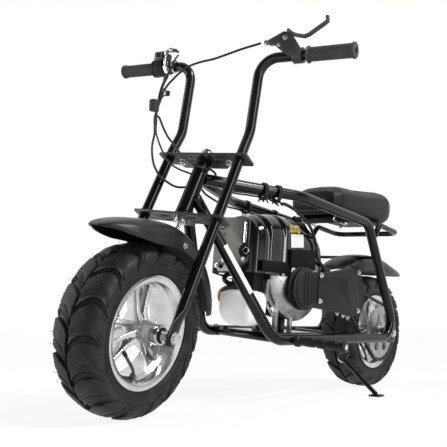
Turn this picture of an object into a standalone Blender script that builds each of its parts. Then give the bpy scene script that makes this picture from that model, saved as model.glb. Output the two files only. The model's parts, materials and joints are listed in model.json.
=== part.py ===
"""A child's minibike: twin tube loops, a small open engine and lugged balloon tyres, parked on its side stand.

Axes: x to the rider's left, y to the rear, z up. Everything is drawn with the bike upright and its
fork straight. Then the fork is turned, the bike leans, and it is set down on its two tyres.
"""

import math

import bmesh
import bpy
from mathutils import Matrix, Vector

# Stance
LEAN = math.radians(5.97)
STEER = math.radians(11.73)
RAKE = math.radians(22.07)
WHEELBASE = 0.8864

# Fits between solids
SEAT_GAP = 0.0003
RUN_GAP = 0.0006

# Tyres and rims. The axle height is counted from the drawing's base line.
AXLE_Z = 0.165
RIM_FLANGE_R = 0.1072
RIM_FLANGE_HALF = 0.0425
RIM_FLANGE_DEPTH = 0.0092
RIM_WELL_DEPTH = 0.0080
RIM_WALL = 0.0035
TYRE_DEPTH = 0.0578
TYRE_HALF = 0.0500
LUG_HEIGHT = 0.0055
LUG_COUNT = 18
LUG_SWEEP = math.radians(21)
HUB_R = 0.0215
HUB_HALF = 0.0700
SPOKE_PAIRS = 3
SPOKE_SPREAD = math.radians(17)
AXLE_R = 0.0060
NUT_R = 0.0105
AXLE_END = 0.1030
SPACER_R = 0.0115

# Fork and steering
STEM_Z = 0.35
LEG_AHEAD = 0.0078
LEG_HALF = 0.0925
LEG_R = 0.0111
LEG_TAB = 0.0040
LOWER_PLATE_UP = 0.055
UPPER_PLATE_UP = 0.195
PLATE_THICK = 0.0047
PLATE_HALF = 0.1145
PLATE_AHEAD = 0.0227
UPPER_BEHIND = 0.0185
LOWER_BEHIND = 0.0145
PLATE_BULGE = 0.0280
PLATE_BULGE_HALF = 0.0300
STEM_R = 0.0100
HEAD_R = 0.0170
HEAD_BORE_GAP = 0.0008
HEAD_END_GAP = 0.0020

# Mudguards
GUARD_GAP = 0.0400
GUARD_HALF = 0.0600
GUARD_THICK = 0.0028
GUARD_DROP = 0.0140
GUARD_LIP = 0.0100

# Handlebars
BAR_R = 0.0111
BAR_UPRIGHT_HALF = 0.0905
BAR_LOW_BEND = (-0.2650, 0.5950)
BAR_TOP_Y = -0.2610
BAR_TOP_Z = 0.7600
BAR_LOW_RADIUS = 0.060
BAR_TOP_RADIUS = 0.042
LEVER_Y = -0.2850
GRIP_END = 0.3040
GRIP_LENGTH = 0.1020
GRIP_R = 0.0148

# Frame
FRAME_HALF = 0.1077
FRAME_R = 0.0125
RAIL_DROP = 0.0125
TOP_FRONT = (-0.070, 0.4805)
TOP_REAR = (0.250, 0.464)
RAIL_PAST_AXLE = 0.0028
RAIL_FRONT_Y = -0.145
HEAD_TOP_UP = 0.146
HEAD_LOW = (0.0117, 0.0047, 0.1035)
CROSS_R = 0.0095
CRADLE_STEP = 0.0110
DROPOUT_STEP = 0.0132
DROPOUT_THICK = 0.0050

# Seat
SEAT_HALF = 0.083
HOOP_R = 0.0080

# Engine
BLOCK_LOW = 0.2000
SHROUD_LOW = 0.2960
SHROUD_WALL = 0.0030
SHROUD_CORNER = 0.0340
LOUVRES = 4
LOUVRE_STEP = 0.0150
LOUVRE_HIGH = 0.0055
BOSS_R = 0.0125
FOOT_R = 0.0070
CASE_DISC_R = 0.0370
GUARD_PLATE = 0.0030
BLOCK_LEFT = 0.0190
CRANK = (0.030, 0.295)
BELL_R = 0.1060
CASE_RING = (0.006, 0.270)
CASE_X = 0.0663
CASE_END = 0.0935
CASE_DISC = (0.212, 0.277)
TANK_LOW = 0.1700
TANK_TOP = 0.2380
CHAIN_X = 0.0600
CHAIN_HALF = 0.0042
SPROCKET_R = 0.0780
DRIVE_Y = 0.2150
DRIVE_Z = 0.2770
DRIVE_R = 0.0190

# Cables
CABLE_R = 0.0025
WIRE_R = 0.0020
SLEEVE_R = 0.0036

# Foot pegs
PEG_Y = -0.076
PEG_END = 0.247
PEG_R = 0.0090

# Side stand
STAND_PIVOT = Vector((0.066, 0.221, 0.0985))
STAND_FOOT = (0.1748, 0.2079)
STAND_R = 0.0060
STAND_BOLT_R = 0.0042

TYRE_R = RIM_FLANGE_R + TYRE_DEPTH
RIM_SEAT_R = RIM_FLANGE_R - RIM_FLANGE_DEPTH
RIM_WELL_R = RIM_SEAT_R - RIM_WELL_DEPTH
GUARD_R = TYRE_R + GUARD_GAP
REAR_AXLE = Vector((0.0, WHEELBASE / 2, AXLE_Z))
FRONT_AXLE = Vector((0.0, -WHEELBASE / 2, AXLE_Z))
RAIL_Z = AXLE_Z - RAIL_DROP
RAIL_REAR_Y = REAR_AXLE.y + RAIL_PAST_AXLE
CRADLE_Z = RAIL_Z + CRADLE_STEP
FRAME_INNER = FRAME_HALF - FRAME_R - SEAT_GAP
DROPOUT_X = FRAME_HALF - DROPOUT_STEP
AXLE_DROP = (STEM_Z + LEG_AHEAD * math.sin(RAKE) - AXLE_Z) / math.cos(RAKE)
STEM_Y = FRONT_AXLE.y + AXLE_DROP * math.sin(RAKE) + LEG_AHEAD * math.cos(RAKE)
ALONG = Vector((0.0, math.sin(RAKE), math.cos(RAKE)))
AHEAD = Vector((0.0, -math.cos(RAKE), math.sin(RAKE)))
STEM = Vector((0.0, STEM_Y, STEM_Z))
SIDES = (("left", 1.0), ("right", -1.0))

# name: (colour, metallic, roughness)
PAINTS = {
    "black_paint": ((0.012, 0.012, 0.013), 0.0, 0.22),
    "satin_black": ((0.020, 0.020, 0.021), 0.0, 0.50),
    "tyre_rubber": ((0.018, 0.018, 0.019), 0.0, 0.85),
    "grip_rubber": ((0.022, 0.022, 0.024), 0.0, 0.80),
    "cast_alloy": ((0.62, 0.62, 0.63), 1.0, 0.28),
    "rough_alloy": ((0.50, 0.50, 0.51), 1.0, 0.45),
    "zinc_steel": ((0.60, 0.60, 0.62), 1.0, 0.35),
    "dark_steel": ((0.16, 0.16, 0.17), 1.0, 0.45),
    "shroud_gloss": ((0.008, 0.008, 0.009), 0.0, 0.12),
    "panel_grey": ((0.070, 0.070, 0.068), 0.2, 0.48),
    "cast_dark": ((0.030, 0.030, 0.031), 0.3, 0.60),
    "cable_black": ((0.025, 0.025, 0.026), 0.0, 0.45),
    "tank_white": ((0.62, 0.62, 0.60), 0.0, 0.40),
    "cap_black": ((0.020, 0.020, 0.020), 0.0, 0.55),
    "seat_vinyl": ((0.022, 0.022, 0.023), 0.0, 0.60),
}


def fork(x, ahead, up):
    """A point of the straight front assembly, measured square to the steering axis and up it."""
    return Vector((x, 0.0, 0.0)) + STEM + ahead * AHEAD + up * ALONG


def paint(name):
    material = bpy.data.materials.get(name)
    if material is None:
        colour, metallic, roughness = PAINTS[name]
        material = bpy.data.materials.new(name)
        material.use_nodes = True
        shader = material.node_tree.nodes["Principled BSDF"]
        shader.inputs["Base Color"].default_value = (*colour, 1.0)
        shader.inputs["Metallic"].default_value = metallic
        shader.inputs["Roughness"].default_value = roughness
        material.diffuse_color = (*colour, 1.0)
    return material


def pivot(name, point, parent=None, rotation=None):
    """An empty at a point of the upright bike. Its parent's own place is taken off."""
    empty = bpy.data.objects.new(name, None)
    bpy.context.scene.collection.objects.link(empty)
    empty["origin"] = tuple(point)
    empty.parent = parent
    start = Vector(parent["origin"]) if parent else Vector()
    empty.location = Vector(point) - start
    if rotation is not None:
        empty.rotation_mode = "QUATERNION"
        empty.rotation_quaternion = rotation
    return empty


def outward(shape):
    """Turns the faces of a closed shape to point out."""
    bmesh.ops.recalc_face_normals(shape, faces=shape.faces)
    if shape.calc_volume(signed=True) < 0:
        bmesh.ops.reverse_faces(shape, faces=shape.faces)


def add(name, shape, body, colour, sharp=35):
    """Makes a node of a shape drawn on the upright bike, hung on its body's empty."""
    mesh = bpy.data.meshes.new(name)
    outward(shape)
    shape.to_mesh(mesh)
    shape.free()
    mesh.transform(Matrix.Translation(-Vector(body["origin"])))
    mesh.shade_smooth()
    mesh.set_sharp_from_angle(angle=math.radians(sharp))
    node = bpy.data.objects.new(name, mesh)
    node.data.materials.append(paint(colour))
    bpy.context.scene.collection.objects.link(node)
    node.parent = body
    return node


def smooth_line(points, step):
    """Points set evenly, about a step apart, along a smooth curve through the given ones."""
    points = [Vector(point) for point in points]
    ends = [points[0] * 2 - points[1], *points, points[-1] * 2 - points[-2]]
    fine = []
    for before, start, end, after in zip(ends, ends[1:], ends[2:], ends[3:]):
        for i in range(20):
            t = i / 20
            pull = (end - before) * t + (before * 2 - start * 5 + end * 4 - after) * t ** 2
            fine.append(start + (pull + (start * 3 - before - end * 3 + after) * t ** 3) / 2)
    fine.append(points[-1])
    lengths = [0.0]
    for first, second in zip(fine, fine[1:]):
        lengths.append(lengths[-1] + (second - first).length)
    count = max(2, round(lengths[-1] / step))
    result = []
    place = 0
    for i in range(count + 1):
        wanted = lengths[-1] * i / count
        while place < len(fine) - 2 and lengths[place + 1] < wanted:
            place += 1
        share = (wanted - lengths[place]) / (lengths[place + 1] - lengths[place])
        result.append(fine[place].lerp(fine[place + 1], share))
    return result


def cable(name, points, radius, step, body):
    """A cable as a curve with a round section, through points of the bike as it is parked."""
    curve = bpy.data.curves.new(name, "CURVE")
    curve.dimensions = "3D"
    curve.bevel_depth = radius
    curve.bevel_resolution = 2
    curve.use_fill_caps = True
    line = smooth_line(points, step)
    spline = curve.splines.new("POLY")
    spline.points.add(len(line) - 1)
    for place, point in zip(spline.points, line):
        place.co = (*point, 1.0)
    node = bpy.data.objects.new(name, curve)
    node.data.materials.append(paint("cable_black"))
    bpy.context.scene.collection.objects.link(node)
    node.parent = body


def combined(first, joins=(), cuts=()):
    """One shape from a first one, with others joined to it and then others cut from it."""
    helpers = []
    for shape in (first, *joins, *cuts):
        mesh = bpy.data.meshes.new("helper")
        outward(shape)
        shape.to_mesh(mesh)
        shape.free()
        helper = bpy.data.objects.new("helper", mesh)
        bpy.context.scene.collection.objects.link(helper)
        helpers.append(helper)
    base = helpers[0]
    for index, helper in enumerate(helpers[1:]):
        modifier = base.modifiers.new("shape", "BOOLEAN")
        modifier.operation = "UNION" if index < len(joins) else "DIFFERENCE"
        modifier.solver = "EXACT"
        modifier.object = helper
    graph = bpy.context.evaluated_depsgraph_get()
    mesh = bpy.data.meshes.new_from_object(base.evaluated_get(graph))
    result = bmesh.new()
    result.from_mesh(mesh)
    bpy.data.meshes.remove(mesh)
    for helper in helpers:
        bpy.data.meshes.remove(helper.data)
    return result


def bridged(rings, closed_ends=True, loop=False):
    """A skin over rings of points, each ring with the same number of points in the same order."""
    shape = bmesh.new()
    made = [[shape.verts.new(point) for point in ring] for ring in rings]
    count = len(made[0])
    pairs = list(zip(made, made[1:]))
    if loop:
        pairs.append((made[-1], made[0]))
    for first, second in pairs:
        for i in range(count):
            j = (i + 1) % count
            shape.faces.new((first[i], first[j], second[j], second[i]))
    if closed_ends and not loop:
        shape.faces.new(made[0])
        shape.faces.new(made[-1])
    return shape


def bent(rows, step=18):
    """Centre line through corners, given as rows of (point, bend radius), with an arc at each."""
    line = [Vector(rows[0][0])]
    for before, (corner, radius), after in zip(rows, rows[1:], rows[2:]):
        corner = Vector(corner)
        back = (Vector(before[0]) - corner).normalized()
        on = (Vector(after[0]) - corner).normalized()
        turn = math.pi - back.angle(on)
        if turn < 1e-4 or radius <= 0:
            line.append(corner)
            continue
        reach = radius * math.tan(turn / 2)
        centre = corner + (back + on).normalized() * (radius / math.cos(turn / 2))
        start = corner + back * reach - centre
        axis = start.cross(corner + on * reach - centre).normalized()
        pieces = max(2, math.ceil(math.degrees(turn) / step))
        for i in range(pieces + 1):
            line.append(centre + Matrix.Rotation(turn * i / pieces, 3, axis) @ start)
    line.append(Vector(rows[-1][0]))
    return line


def tube(line, radius, sides=12, spin=0.0):
    """A round bar along a line of points. The radius is one number, or one (wide, thin) pair a point."""
    line = [Vector(point) for point in line]
    radii = radius if isinstance(radius, list) else [(radius, radius)] * len(line)
    tangents = []
    for i in range(len(line)):
        before = (line[i] - line[max(i - 1, 0)]).normalized()
        after = (line[min(i + 1, len(line) - 1)] - line[i]).normalized()
        tangents.append((before + after).normalized())
    across = tangents[0].cross(Vector((1, 0, 0)))
    if across.length < 0.2:
        across = tangents[0].cross(Vector((0, 0, 1)))
    rings = []
    for point, tangent, (wide, thin) in zip(line, tangents, radii):
        across = (across - tangent * across.dot(tangent)).normalized()
        other = tangent.cross(across)
        ring = []
        for i in range(sides):
            angle = spin + 2 * math.pi * i / sides
            ring.append(point + across * (wide * math.cos(angle)) + other * (thin * math.sin(angle)))
        rings.append(ring)
    return bridged(rings)


def turned(profile, centre, axis=Vector((1, 0, 0)), sides=32, ring=False, spin=0.0):
    """A shape turned about an axis. The profile's rows are (place along the axis, radius)."""
    axis = Vector(axis).normalized()
    across = axis.cross(Vector((0, 0, 1)))
    if across.length < 0.2:
        across = axis.cross(Vector((0, 1, 0)))
    across.normalize()
    other = axis.cross(across)
    rings = []
    for place, radius in profile:
        points = []
        for i in range(sides):
            angle = spin + 2 * math.pi * i / sides
            points.append(
                Vector(centre) + axis * place + (across * math.cos(angle) + other * math.sin(angle)) * radius
            )
        rings.append(points)
    return bridged(rings, loop=ring)


def bar(start, end, radius, sides=16):
    return tube([start, end], radius, sides)


def prism(outline, low, high, place):
    """An outline of (u, v) rows, made thick from low to high. place(u, v, w) gives the point."""
    return bridged([[place(u, v, w) for u, v in outline] for w in (low, high)])


def side_place(y, z, x):
    return Vector((x, y, z))


def top_place(x, y, z):
    return Vector((x, y, z))


def block(low, high):
    return prism([(low[0], low[1]), (high[0], low[1]), (high[0], high[1]), (low[0], high[1])],
                 low[2], high[2], top_place)


def rounded(outline, radius, steps=4):
    """The outline with each corner turned into an arc. The radius is one number, or one a corner."""
    radii = radius if isinstance(radius, list) else [radius] * len(outline)
    result = []
    count = len(outline)
    for i, (x, y) in enumerate(outline):
        before = Vector((*outline[i - 1], 0.0))
        corner = Vector((x, y, 0.0))
        after = Vector((*outline[(i + 1) % count], 0.0))
        if radii[i] <= 0:
            result.append((x, y))
            continue
        back = (before - corner).normalized()
        on = (after - corner).normalized()
        turn = math.pi - back.angle(on)
        reach = radii[i] * math.tan(turn / 2)
        centre = corner + (back + on).normalized() * (radii[i] / math.cos(turn / 2))
        start = corner + back * reach - centre
        axis = start.cross(corner + on * reach - centre).normalized()
        for k in range(steps + 1):
            point = centre + Matrix.Rotation(turn * k / steps, 3, axis) @ start
            result.append((point.x, point.y))
    return result


def spread(rows, step):
    """The rows with more rows set evenly between each two, no more than a step apart in the first column."""
    result = []
    for first, second in zip(rows, rows[1:]):
        parts = max(1, math.ceil(abs(second[0] - first[0]) / step))
        result += [tuple(a + (b - a) * i / parts for a, b in zip(first, second)) for i in range(parts)]
    return result + [tuple(rows[-1])]


def sector(centre_y, centre_z, rows, half, thick, drop, skirt):
    """A mudguard about an axle: rows of (angle in degrees from the rear, radius, part of the half width)."""
    rings = []
    for angle, radius, width in spread(rows, 9):
        turn = math.radians(angle)
        out = Vector((0.0, math.cos(turn), math.sin(turn)))
        centre = Vector((0.0, centre_y, centre_z))
        outer = []
        inner = []
        for part, fall in ((-1.0, drop + skirt), (-0.94, drop), (-0.6, drop * 0.32), (0.0, 0.0),
                           (0.6, drop * 0.32), (0.94, drop), (1.0, drop + skirt)):
            across = Vector((part * width * half, 0.0, 0.0))
            outer.append(centre + across + out * (radius - fall))
            shrink = Vector((part * thick, 0.0, 0.0))
            inner.append(centre + across - shrink + out * (radius - fall - (thick if abs(part) < 0.99 else 0.0)))
        rings.append(outer + inner[::-1])
    return bridged(rings)


def tyre(centre):
    """A balloon tyre whose lugs sweep back from the middle to each shoulder, left and right in turn."""
    tread = TYRE_R - LUG_HEIGHT
    side = TYRE_HALF
    # (across, radius, lift across, lift out) of one half, from the bead to the middle
    half = (
        (RIM_FLANGE_HALF - 0.0045, RIM_SEAT_R + SEAT_GAP, 0.0, 0.0),
        (RIM_FLANGE_HALF - 0.0045, RIM_FLANGE_R + SEAT_GAP, 0.0, 0.0),
        (side * 0.90, RIM_FLANGE_R + 0.0020, 0.0, 0.0),
        (side, TYRE_R * 0.815, 0.0, 0.0),
        (side * 0.975, TYRE_R * 0.865, LUG_HEIGHT * 0.55, LUG_HEIGHT * 0.50),
        (side * 0.78, TYRE_R * 0.936, LUG_HEIGHT * 0.40, LUG_HEIGHT * 0.95),
        (side * 0.12, tread, 0.0, LUG_HEIGHT),
    )
    columns = [(-1, row) for row in half] + [(1, row) for row in half[::-1]]
    pitch = 2 * math.pi / LUG_COUNT
    # (part of the pitch, left lug raised, right lug raised)
    samples = ((0.0, 0, 1), (0.07, 1, 0), (0.50, 1, 0), (0.57, 0, 1))
    rings = []
    for lug in range(LUG_COUNT):
        for place, left, right in samples:
            ring = []
            for sign, (across, radius, lift_x, lift_r) in columns:
                share = min(1.0, across / side)
                raised = left if sign > 0 else right
                angle = pitch * (lug + place) + LUG_SWEEP * share ** 1.6
                x = sign * (across + lift_x * raised)
                r = radius + lift_r * raised
                ring.append(Vector(centre) + Vector((x, r * math.cos(angle), r * math.sin(angle))))
            rings.append(ring)
    return bridged(rings, loop=True)


def rim(centre):
    """A cast rim: a deep barrel, a long hub and pairs of slim arms between them."""
    flange = RIM_FLANGE_HALF
    seat = flange - 0.0040
    outer = [(flange, RIM_FLANGE_R), (seat, RIM_FLANGE_R), (seat - 0.0004, RIM_SEAT_R)]
    inner = [(0.0135, RIM_WELL_R - RIM_WALL), (0.0215, RIM_SEAT_R - RIM_WALL),
             (flange - 0.0030, RIM_SEAT_R - RIM_WALL), (flange, RIM_FLANGE_R - 0.0030)]
    profile = outer + [(-x, r) for x, r in outer[::-1]] + [(-x, r) for x, r in inner[::-1]] + inner
    barrel = turned(profile, centre, sides=28, ring=True, spin=0.04)
    bore = AXLE_R + RUN_GAP
    hub = turned([(HUB_HALF, bore), (HUB_HALF, 0.0185), (0.040, 0.0185), (0.034, HUB_R), (-0.034, HUB_R),
                  (-0.040, 0.0185), (-HUB_HALF, 0.0185), (-HUB_HALF, bore)], centre, sides=16, ring=True)
    arms = []
    for pair in range(SPOKE_PAIRS):
        middle = math.radians(92) + 2 * math.pi * pair / SPOKE_PAIRS
        for lean in (-1, 1):
            foot = middle + lean * math.radians(6.3 + 0.7 * lean)
            head = middle + lean * SPOKE_SPREAD
            start = Vector(centre) + Vector((0, math.cos(foot), math.sin(foot))) * (HUB_R - 0.0065)
            end = Vector(centre) + Vector((0, math.cos(head), math.sin(head))) * (RIM_WELL_R + 0.0010)
            along = (end - start).normalized()
            across = Vector((1, 0, 0)).cross(along)
            rings = []
            for point, deep, wide in ((start, 0.0200 + 0.0004 * lean, 0.0070), (end, 0.0125, 0.0052)):
                rings.append([point + Vector((deep, 0, 0)) * a + across * wide * b
                              for a, b in ((-1, -0.7), (-0.8, -1), (0.8, -1), (1, -0.7),
                                           (1, 0.7), (0.8, 1), (-0.8, 1), (-1, 0.7))])
            arms.append(bridged(rings))
    return combined(barrel, joins=(hub, *arms))


def frame_line(side):
    """The centre line of one frame loop, from the top of the head tube round to its foot."""
    half = FRAME_HALF * side
    top = fork(0.0, 0.0, HEAD_TOP_UP)
    low = fork(HEAD_LOW[0] * side, HEAD_LOW[1], HEAD_LOW[2])
    return bent([
        (top, 0.0),
        ((half, *TOP_FRONT), 0.10),
        ((half, *TOP_REAR), 0.050),
        ((half, RAIL_REAR_Y, RAIL_Z), 0.050),
        ((half, RAIL_FRONT_Y, RAIL_Z), 0.060),
        (low, 0.0),
    ])


def build_frame(bike):
    head_low = fork(0, 0, LOWER_PLATE_UP + PLATE_THICK / 2 + HEAD_END_GAP)
    head_top = fork(0, 0, UPPER_PLATE_UP - PLATE_THICK / 2 - HEAD_END_GAP)
    head_length = (head_top - head_low).length
    bore = STEM_R + HEAD_BORE_GAP
    head = turned([(0, bore), (0, HEAD_R), (head_length, HEAD_R), (head_length, bore)],
                  head_low, ALONG, 16, ring=True)
    add("head_tube", head, bike, "black_paint")
    for name, side in SIDES:
        loop = tube(frame_line(side), FRAME_R, 12)
        clear = bar(head_low - ALONG * 0.02, head_top + ALONG * 0.02, HEAD_R + SEAT_GAP, 16)
        middle = block((-0.5 * (1 + side) + side * SEAT_GAP, -0.5, 0.2),
                       (0.5 * (1 - side) + side * SEAT_GAP, 0.0, 0.6))
        add(f"frame_loop_{name}", combined(loop, cuts=(clear, middle)), bike, "black_paint")
    inner = FRAME_INNER
    cross = bar((-inner, STAND_PIVOT.y, RAIL_Z), (inner, STAND_PIVOT.y, RAIL_Z), CROSS_R, 12)
    add("frame_cross_rear", cross, bike, "black_paint")
    for name, side in SIDES:
        # (behind the axle, above the axle)
        plate = ((-0.035, -0.025), (0.013, -0.029), (0.027, 0.000), (0.017, 0.030), (-0.013, 0.040), (-0.037, 0.025))
        outline = rounded([(REAR_AXLE.y + y, REAR_AXLE.z + z) for y, z in plate], 0.010, 3)
        x = side * DROPOUT_X
        plate = prism(outline, x - DROPOUT_THICK / 2, x + DROPOUT_THICK / 2, side_place)
        hole = bar((x - 0.02, REAR_AXLE.y, REAR_AXLE.z), (x + 0.02, REAR_AXLE.y, REAR_AXLE.z),
                   AXLE_R + SEAT_GAP, 16)
        loop = tube(frame_line(side), FRAME_R + SEAT_GAP, 12)
        add(f"dropout_{name}", combined(plate, cuts=(hole, loop)), bike, "black_paint")
    cradle = bar((-inner, -0.100, RAIL_Z), (inner, -0.100, RAIL_Z), CROSS_R, 12)
    under_tank = TANK_LOW - SEAT_GAP
    ends = [bar((-inner, 0.070, RAIL_Z), (inner, 0.070, RAIL_Z), CROSS_R, 12),
            block((-0.052, -0.117, CRADLE_Z - 0.0040), (0.060, 0.076, CRADLE_Z)),
            block((-0.052, -0.140, CRADLE_Z - 0.0036), (-0.040, -0.100, CRADLE_Z - 0.0004)),
            block((-0.051, -0.139, CRADLE_Z - 0.0030), (-0.041, -0.127, under_tank)),
            block((0.030, -0.116, CRADLE_Z - 0.0020), (0.042, -0.101, under_tank)),
            block((-0.040, -0.040, CRADLE_Z - 0.0020), (-0.020, -0.020, BLOCK_LOW - SEAT_GAP)),
            block((-0.040, 0.050, CRADLE_Z - 0.0020), (-0.020, 0.070, BLOCK_LOW - SEAT_GAP))]
    add("engine_cradle", combined(cradle, joins=ends), bike, "black_paint")


def build_axle(name, centre, body, outer, nut_from, spacer_from):
    """A through axle with a spacer on each side of the hub and a nut at each end."""
    inner, past = spacer_from
    profile = [(-outer, 0.0015), (-outer, NUT_R * 0.62), (-outer + 0.0012, NUT_R), (-nut_from, NUT_R),
               (-nut_from, AXLE_R), (-past, AXLE_R), (-past, SPACER_R), (-inner, SPACER_R), (-inner, AXLE_R)]
    profile = profile + [(-x, r) for x, r in profile[::-1]]
    add(name, turned(profile, centre, sides=12), body, "zinc_steel")


def build_seat(bike):
    rings = []
    # (y, half width, bottom, top, how square)
    for y, half, low, high, square in (
        (0.1300, 0.050, 0.4920, 0.5220, 2.6),
        (0.1360, 0.070, 0.4850, 0.5380, 3.2),
        (0.1680, 0.082, 0.4830, 0.5500, 3.6),
        (0.2600, SEAT_HALF, 0.4830, 0.5560, 3.6),
        (0.3500, SEAT_HALF, 0.4840, 0.5680, 3.6),
        (0.4150, 0.082, 0.4850, 0.5750, 3.6),
        (0.4420, 0.074, 0.4870, 0.5690, 3.2),
        (0.4500, 0.054, 0.4950, 0.5560, 2.6),
    ):
        ring = []
        for i in range(20):
            angle = 2 * math.pi * i / 20
            c, s = math.cos(angle), math.sin(angle)
            ring.append(Vector((half * math.copysign(abs(c) ** (2 / square), c), y,
                                (low + high) / 2 + (high - low) / 2 * math.copysign(abs(s) ** (2 / square), s))))
        rings.append(ring)
    add("seat_pad", bridged(rings), bike, "seat_vinyl")
    pan = prism(rounded([(-0.070, 0.150), (0.070, 0.150), (0.070, 0.425), (-0.070, 0.425)], 0.02, 3),
                0.4795, 0.4826, top_place)
    inner = FRAME_HALF - FRAME_R - SEAT_GAP
    cross = bar((-inner, 0.190, 0.4690), (inner, 0.190, 0.4690), 0.0110, 12)
    add("seat_pan", combined(pan, joins=(cross,)), bike, "satin_black")
    half = FRAME_HALF - 0.004
    hoop = tube(bent([
        ((half, 0.283, 0.4150), 0.0), ((half, 0.325, 0.4690), 0.022), ((half, 0.444, 0.4600), 0.030),
        ((-half, 0.444, 0.4600), 0.030), ((-half, 0.325, 0.4690), 0.022), ((-half, 0.283, 0.4150), 0.0),
    ]), HOOP_R, 8)
    loops = [tube(frame_line(side), FRAME_R + SEAT_GAP, 12) for _, side in SIDES]
    add("seat_hoop", combined(hoop, cuts=loops), bike, "black_paint")


def dome(grow, low):
    """The skin of the engine shroud: arched sections from front to rear, with grooves between its ribs."""
    rings = []
    # (y, left, right, top)
    sections = (
        (-0.158, 0.038, -0.060, 0.414), (-0.147, 0.051, -0.066, 0.427), (-0.124, 0.056, -0.069, 0.433),
        (-0.114, 0.052, -0.067, 0.429), (-0.102, 0.058, -0.070, 0.438), (-0.070, 0.059, -0.070, 0.442),
        (-0.060, 0.055, -0.068, 0.438), (-0.048, 0.060, -0.070, 0.445), (-0.014, 0.060, -0.070, 0.445),
        (-0.004, 0.056, -0.068, 0.441), (0.008, 0.060, -0.070, 0.444), (0.060, 0.060, -0.070, 0.436),
        (0.100, 0.056, -0.065, 0.416), (0.130, 0.046, -0.056, 0.382),
    )
    for place, (y, left, right, top) in enumerate(sections):
        outline = rounded([(left + grow, low), (left + grow, top + grow), (right - grow, top + grow),
                           (right - grow, low)], [0, SHROUD_CORNER, SHROUD_CORNER, 0], 4)
        y += {0: -grow, len(sections) - 1: grow}.get(place, 0.0)
        rings.append([Vector((x, y, z)) for x, z in outline])
    return bridged(rings)


def build_shroud(bike):
    """The glossy shroud, and on its front and right the grey guard with its louvres and boss."""
    hollow = dome(-SHROUD_WALL, SHROUD_LOW - 0.05)
    add("engine_shroud", combined(dome(0.0, SHROUD_LOW), cuts=(hollow,)), bike, "shroud_gloss")
    face = -0.158 - SEAT_GAP
    edge = 0.070 + SEAT_GAP
    front = prism(rounded([(-edge - GUARD_PLATE, 0.300), (-edge - GUARD_PLATE, 0.410), (-0.048, 0.424),
                           (0.034, 0.420), (0.034, 0.318), (0.022, 0.312), (-0.040, 0.312)],
                          [0.004, 0.012, 0.012, 0.004, 0.008, 0.008, 0.008], 3),
                  face - GUARD_PLATE, face, lambda x, z, y: Vector((x, y, z)))
    side = prism(rounded([(face - GUARD_PLATE + 0.0002, 0.290), (face - GUARD_PLATE + 0.0002, 0.408),
                          (-0.130, 0.420), (-0.040, 0.420), (-0.036, 0.330), (-0.110, 0.282)],
                         [0, 0, 0.010, 0.006, 0.010, 0.010], 3),
                 -edge - GUARD_PLATE, -edge, side_place)
    boss = turned([(0.0, 0.0060), (0.0, BOSS_R), (0.004, BOSS_R), (0.0055, 0.0095), (0.0055, 0.0060)],
                  (0.018, face - GUARD_PLATE + 0.0010, 0.345), (0, -1, 0), 16, ring=True)
    hole = bar((0.018, face - 0.02, 0.345), (0.018, face + 0.01, 0.345), 0.0060, 12)
    slots = [hole]
    for row in range(LOUVRES):
        z = 0.395 - LOUVRE_STEP * row
        slots.append(block((-0.064, face - 0.01, z), (-0.044, face + 0.01, z + LOUVRE_HIGH)))
        slots.append(block((-edge - 0.01, -0.140, z - 0.060), (-edge + 0.01, -0.080, z - 0.060 + LOUVRE_HIGH)))
    add("muffler_guard", combined(front, joins=(side, boss), cuts=slots), bike, "panel_grey")


def build_crankcase(bike):
    """The plain engine block, the dished crankcase cover on two feet, and the cover's flange lug."""
    cylinder = block((-0.050, -0.115, TANK_TOP + 0.008), (BLOCK_LEFT, 0.100, 0.390))
    sump = block((-0.048, -0.088, BLOCK_LOW), (BLOCK_LEFT - 0.001, 0.096, TANK_TOP + 0.018))
    add("engine_block", combined(cylinder, joins=(sump,)), bike, "cast_dark")
    start = BLOCK_LEFT + SEAT_GAP
    bell = turned([(start, 0.015), (start, BELL_R - 0.003), (0.0360, BELL_R), (0.0400, BELL_R - 0.003),
                   (0.0500, BELL_R - 0.020), (0.0580, 0.066), (CASE_X - SEAT_GAP, 0.054), (CASE_X - SEAT_GAP, 0.015)],
                  (0, *CRANK), sides=32)
    feet = []
    # (y, top)
    for y, top in ((-0.047, 0.250), (0.012, 0.220)):
        feet.append(bar((0.0360, y, top), (0.0360, y, CRADLE_Z + SEAT_GAP), FOOT_R, 10))
    lug = prism(rounded([(-0.087, 0.285), (-0.070, 0.285), (-0.070, 0.245), (-0.046, 0.213), (-0.046, 0.196),
                         (-0.066, 0.202), (-0.0925, 0.230), (-0.087, 0.245)], 0.003, 2), start, 0.0370, side_place)
    window = prism([(-0.083, 0.232), (-0.077, 0.236), (-0.058, 0.214), (-0.064, 0.210)], 0.0300, 0.0400, side_place)
    clear = dome(SEAT_GAP, SHROUD_LOW - SEAT_GAP)
    add("clutch_housing", combined(bell, joins=(lug, *feet), cuts=(window, clear)), bike, "rough_alloy")


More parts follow.
